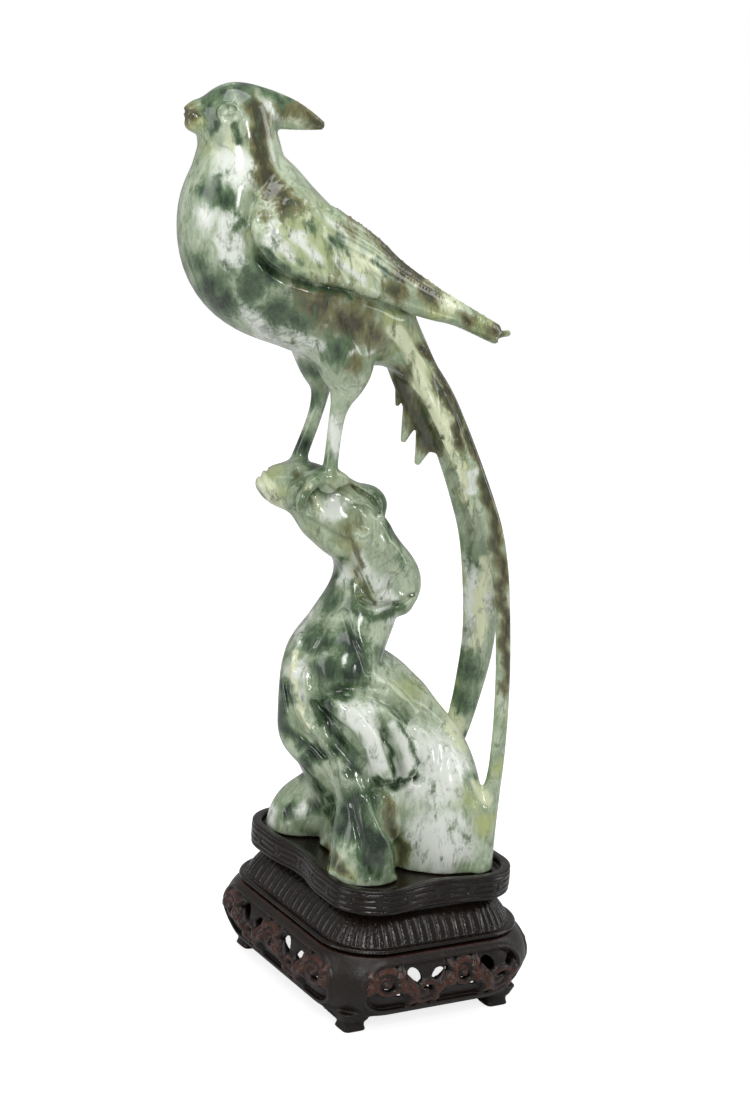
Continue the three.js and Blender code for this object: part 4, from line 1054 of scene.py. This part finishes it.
def petals(round_place, rise):
    """Rounded petals side by side up the shoulder: 1 on a petal's crest, 0 in the groove between two."""
    u = (round_place / OUTLINE * PETALS) % 1 - 0.5
    foot = np.maximum(0, 0.14 - rise) / 0.14
    r = np.sqrt((2 * u) ** 2 + foot**2)
    return np.sqrt(np.maximum(0, 1 - np.minimum(r, 1) ** 2)) + 0.18 * bump(np.abs(u) - 0.28, 0.07)


def shoulder_distance(outside, round_place, z):
    rise = np.clip((z - BEAD_LINE_Z) / (SHOULDER_TOP - BEAD_LINE_Z), 0, 1)
    surface = -2.2 - (SHOULDER_INSET - 2.2) * (0.35 * rise + 0.65 * rise**1.9)
    surface = surface + 1.0 * petals(round_place, rise) * np.clip((1.05 - rise) / 0.2, 0.35, 1)
    flat = (outside - surface) * 0.8
    return np.maximum(flat, np.maximum(BELT_TOP - 0.5 - z, z - TRAY_BOTTOM - 1))


def belt_distance(outside, round_place, z):
    """The belt with its rounded openings, a raised rim round each, and brackets down to the feet."""
    corner = OUTLINE / 8
    to_corner = np.abs((round_place + corner * 2) % (corner * 2) - corner)
    lower = FOOT_Z - 3.4 * np.clip(1 - to_corner / 15, 0, 1) ** 1.6
    wall = np.abs(outside - belt_grow(z) + BELT_WALL / 2) - BELT_WALL / 2
    wall = np.maximum(wall, np.maximum(lower - z, z - BEAD_Z))
    rims = np.full(wall.shape, FAR)
    for side in range(4):
        along = side_place(round_place, side)
        opening = panel_distance(along, z, side)
        wall = soft_max(wall, -opening, 0.6)
        rims = np.minimum(rims, np.hypot(opening - PANEL_RIM, outside - belt_grow(z) + 0.1) - PANEL_RIM)
    rail = np.hypot(z - FOOT_Z - 1.6, outside - belt_grow(z) + 0.2) - 1.1
    return soft_min(soft_min(wall, rims, 0.5), rail, 0.5)


def tray_distance(outside, round_place, z):
    out = outside - tray_grow(round_place) + FRET_DEPTH * fret(round_place, z)
    body = soft_max(out + 0.25 * np.maximum(0, TRAY_BOTTOM + 1.6 - z), z - TRAY_TOP, 1.2)
    body = np.maximum(body, TRAY_BOTTOM - z)
    inside = soft_max(outside - tray_grow(round_place) + TRAY_RIM, TRAY_TOP - TRAY_WELL - z, 0.8)
    return soft_max(body, -inside, 0.8)


def foot_distance(x, y, z):
    reach = BEAD_CORNER * math.sqrt(0.5) - BEAD_CORNER - FOOT_INSET
    dx = np.abs(np.abs(x) - BEAD_X / 2 - reach)
    dy = np.abs(np.abs(y) - BEAD_Y / 2 - reach)
    waist = 0.13 * np.sin(math.pi * np.clip(z / 5, 0, 1))
    flare = 0.3 * np.clip((z - 3.5) / 5, 0, 1) ** 1.3
    block = (dx**4 + dy**4) ** 0.25 - FOOT_WIDTH / 2 * (0.86 - waist + flare)
    return soft_max(block, np.maximum(-z, z - FOOT_Z - 2), 0.8)


def neck_distance(outside, z):
    return np.maximum(outside + SHOULDER_INSET - 0.8, np.maximum(SHOULDER_TOP - 2 - z, z - TRAY_BOTTOM - 1))


def carve_stand():
    grow = BELT_BULGE + 2.5
    high = (BEAD_X / 2 + grow, BEAD_Y / 2 + grow, TRAY_TOP + 1.5)
    low = (-high[0], -high[1], -1.5)
    field = Field(low, high, STAND_VOXEL)
    _, (gx, gy, gz) = field.window(low, high)
    outside, round_place = outline_place(gx, gy)
    maps = [vine_map(side) for side in range(4)]
    d = field.d
    under_bead = gz[0, 0] < BEAD_Z + 1
    zl = gz[:, :, under_bead]
    lower = belt_distance(outside, round_place, zl)
    for side in range(4):
        along = side_place(round_place, side)
        bars, _ = vine_distance(outside + 0 * zl, along + 0 * zl, zl + 0 * outside, maps[side])
        reach = np.abs(along) - panel_half(side) - 3
        lower = soft_min(lower, np.maximum(bars, reach), 0.5)
        lower = soft_min(lower, plate_distance(outside, along, zl, side), 0.4)
    lower = soft_min(lower, foot_distance(gx, gy, zl), 1.2)
    d[:, :, under_bead] = lower
    bead = np.hypot(outside + 0.1, gz - BEAD_LINE_Z) - BEAD_RADIUS
    upper_bead = np.hypot(outside + 1.9, gz - BEAD_LINE_Z - 1.1) - 0.6
    d[:] = np.minimum(np.minimum(d, bead), upper_bead)
    d[:] = soft_min(d, shoulder_distance(outside, round_place, gz).astype(np.float32), 0.4)
    d[:] = np.minimum(d, neck_distance(outside, gz))
    d[:] = soft_min(d, tray_distance(outside, round_place, gz).astype(np.float32), 0.5)
    piece = mesh_of("carved_stand", field, STAND_TRIANGLES)
    paint_ridge_highlight(piece, maps)
    return piece


def paint_ridge_highlight(piece, maps):
    """Marks the bead, the vine's crests, the rims of the openings and the tray's top edge for a painted
    reddish-brown highlight; the hollows keep the black-brown ground.
    """
    x, y, z = corners_of(piece.data).T
    outside, round_place = outline_place(x, y)
    # Painted highlight along the bead's outermost line.
    ridge_highlight = bump(np.hypot(outside - BEAD_RADIUS, z - BEAD_LINE_Z), 2.2)
    for side in range(4):
        along = side_place(round_place, side)
        _, crest = vine_distance(outside, along, z, maps[side])
        here = (z > PANEL_LOW - 1) & (z < PANEL_HIGH + 1) & (np.abs(along) < panel_half(side))
        ridge_highlight = np.maximum(ridge_highlight, crest * here)
        # A weaker painted highlight on the outer rims of the openings.
        rim = bump(panel_distance(along, z, side) - PANEL_RIM, 0.9) * (outside > belt_grow(z) - 1)
        ridge_highlight = np.maximum(ridge_highlight, 0.45 * rim)
    # A weaker painted highlight along the tray's top edge.
    edge = bump(z - TRAY_TOP, 0.8) * 0.3
    write_attribute(piece.data, "ridge_highlight", np.maximum(ridge_highlight, edge))


def wood_material():
    """Black-brown waxed wood with fine grain, with a painted reddish-brown highlight on the carving's
    ridges, which are also a little glossier.
    """
    material, tree, shader = new_material("dark_carved_wood")
    where = node(tree, "ShaderNodeTexCoord").outputs["Object"]
    grain = noise(tree, stretched(tree, where, (1.0, 0.12, 1.0)), 1.3, 6, 0.65, 0.3)
    cloudy = noise(tree, where, 14, 4, 0.6)
    small = noise(tree, where, 2.5, 5, 0.65)
    colour = blend_colour(tree, fade(tree, cloudy, 0.35, 0.7), (0.006, 0.0045, 0.004), (0.013, 0.008, 0.006))
    colour = blend_colour(tree, fade(tree, grain, 0.45, 0.75), colour, (0.022, 0.013, 0.009))
    # Painted highlight: reddish brown over the marked ridges.
    ridge_highlight = calc(tree, "MULTIPLY", attribute(tree, "ridge_highlight"), calc(tree, "MULTIPLY_ADD", small, 1.6, 0.1))
    colour = blend_colour(tree, fade(tree, ridge_highlight, 0.25, 1.0), colour, (0.075, 0.024, 0.014))
    tree.links.new(colour, shader.inputs["Base Color"])
    ridge_roughness = calc(tree, "MULTIPLY_ADD", attribute(tree, "ridge_highlight"), -0.1, 0.2)
    tree.links.new(calc(tree, "MULTIPLY_ADD", small, 0.3, ridge_roughness), shader.inputs["Roughness"])
    shader.inputs["Specular IOR Level"].default_value = 0.4
    pores = node(tree, "ShaderNodeBump", {"Height": grain, "Strength": 0.35, "Distance": 0.0003})
    tool_marks = {"Height": small, "Strength": 0.3, "Distance": 0.0005, "Normal": pores.outputs["Normal"]}
    tree.links.new(node(tree, "ShaderNodeBump", tool_marks).outputs["Normal"], shader.inputs["Normal"])
    return material


def place_stand():
    piece = carve_stand()
    piece.data.materials.append(wood_material())
    piece.location = stand_middle
    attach(piece, "root")
    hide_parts("carved_wood_stand")


def place_jade():
    piece = carve_jade()
    paint_stains_and_shade(piece)
    piece.data.materials.append(jade_material())
    piece.location = carving_middle
    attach(piece, "root")
    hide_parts("carved_jade_bird")


# Camera, light and room, in metres. Softboxes: place from the carving's middle and height over the floor,
# width and height, and power
SENSOR = 36.0
LIT_HEIGHT = 0.22
FLOOR_HALF = 8.0
FLOOR_GLOW = 0.8
ROOM_LIGHT = 0.35
SOFTBOXES = {
    "overhead": ((-0.1, -0.1, 1.3), (0.9, 0.9), 6.5),
    "key": ((-0.55, -0.95, 0.85), (0.26, 0.42), 4.2),
    "left": ((-1.1, 0.05, 0.5), (0.45, 0.9), 2.6),
    "right": ((1.0, -0.35, 0.6), (0.35, 0.8), 2.2),
    "glint": ((0.1, -1.1, 0.45), (0.07, 0.07), 0.6),
}


def add_camera():
    a, p, r = CAMERA_TURN, CAMERA_PITCH, CAMERA_ROLL
    forward = Vector((math.sin(a) * math.cos(p), math.cos(a) * math.cos(p), -math.sin(p)))
    right = Vector((math.cos(a), -math.sin(a), 0))
    up = right.cross(forward)
    across, rise = CAMERA_AIM
    aim = (right * across + Vector((0, 0, rise))) * MM + carving_middle
    place = aim - forward * CAMERA_DISTANCE * MM
    rolled_right = right * math.cos(r) + up * math.sin(r)
    rolled_up = up * math.cos(r) - right * math.sin(r)
    data = bpy.data.cameras.new("camera")
    data.lens = PHOTO_FOCAL * SENSOR / PHOTO_SIZE[1]
    data.sensor_width = SENSOR
    camera = bpy.data.objects.new("camera", data)
    rows = [(rolled_right[k], rolled_up[k], -forward[k], place[k]) for k in range(3)]
    camera.matrix_world = Matrix((*rows, (0, 0, 0, 1)))
    bpy.context.scene.collection.objects.link(camera)
    bpy.context.scene.camera = camera


def add_lights():
    for name, ((x, y, z), (width, height), power) in SOFTBOXES.items():
        data = bpy.data.lights.new(name, "AREA")
        data.shape = "RECTANGLE"
        data.size = width
        data.size_y = height
        data.energy = power
        light = bpy.data.objects.new(name, data)
        light.location = (carving_middle.x + x, carving_middle.y + y, z)
        light.rotation_euler = Vector((-x, -y, LIT_HEIGHT - z)).to_track_quat("-Z", "Y").to_euler()
        bpy.context.scene.collection.objects.link(light)


def add_floor():
    mesh = bpy.data.meshes.new("floor")
    corners = [(FLOOR_HALF * x, FLOOR_HALF * y, 0) for x, y in ((-1, -1), (1, -1), (1, 1), (-1, 1))]
    mesh.from_pydata(corners, [], [(0, 1, 2, 3)])
    floor = bpy.data.objects.new("floor", mesh)
    bpy.context.scene.collection.objects.link(floor)
    material, tree, shader = new_material("white_paper")
    shader.inputs["Base Color"].default_value = (0.6, 0.6, 0.6, 1)
    shader.inputs["Roughness"].default_value = 1.0
    shader.inputs["Specular IOR Level"].default_value = 0.0
    shader.inputs["Emission Color"].default_value = (1, 1, 1, 1)
    seen = node(tree, "ShaderNodeLightPath").outputs["Is Camera Ray"]
    tree.links.new(calc(tree, "MULTIPLY", seen, FLOOR_GLOW), shader.inputs["Emission Strength"])
    mesh.materials.append(material)


def add_world():
    """A white backdrop for the eye, with a dimmer white room for the light."""
    world = bpy.data.worlds.new("world")
    bpy.context.scene.world = world
    world.use_nodes = True
    tree = world.node_tree
    seen = node(tree, "ShaderNodeLightPath").outputs["Is Camera Ray"]
    backdrop = tree.nodes["Background"]
    backdrop.inputs["Color"].default_value = (1, 1, 1, 1)
    glow = calc(tree, "MULTIPLY_ADD", seen, 1 - ROOM_LIGHT, ROOM_LIGHT)
    tree.links.new(glow, backdrop.inputs["Strength"])


stand_low, stand_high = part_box("carved_wood_stand")
stand_middle = Vector(((stand_low.x + stand_high.x) / 2, (stand_low.y + stand_high.y) / 2, 0))
carving_middle = stand_middle + Vector((*CARVING_SHIFT, 0)) * MM
bpy.context.scene.view_settings.view_transform = "Standard"
place_jade()
place_stand()
add_camera()
add_floor()
add_world()
add_lights()
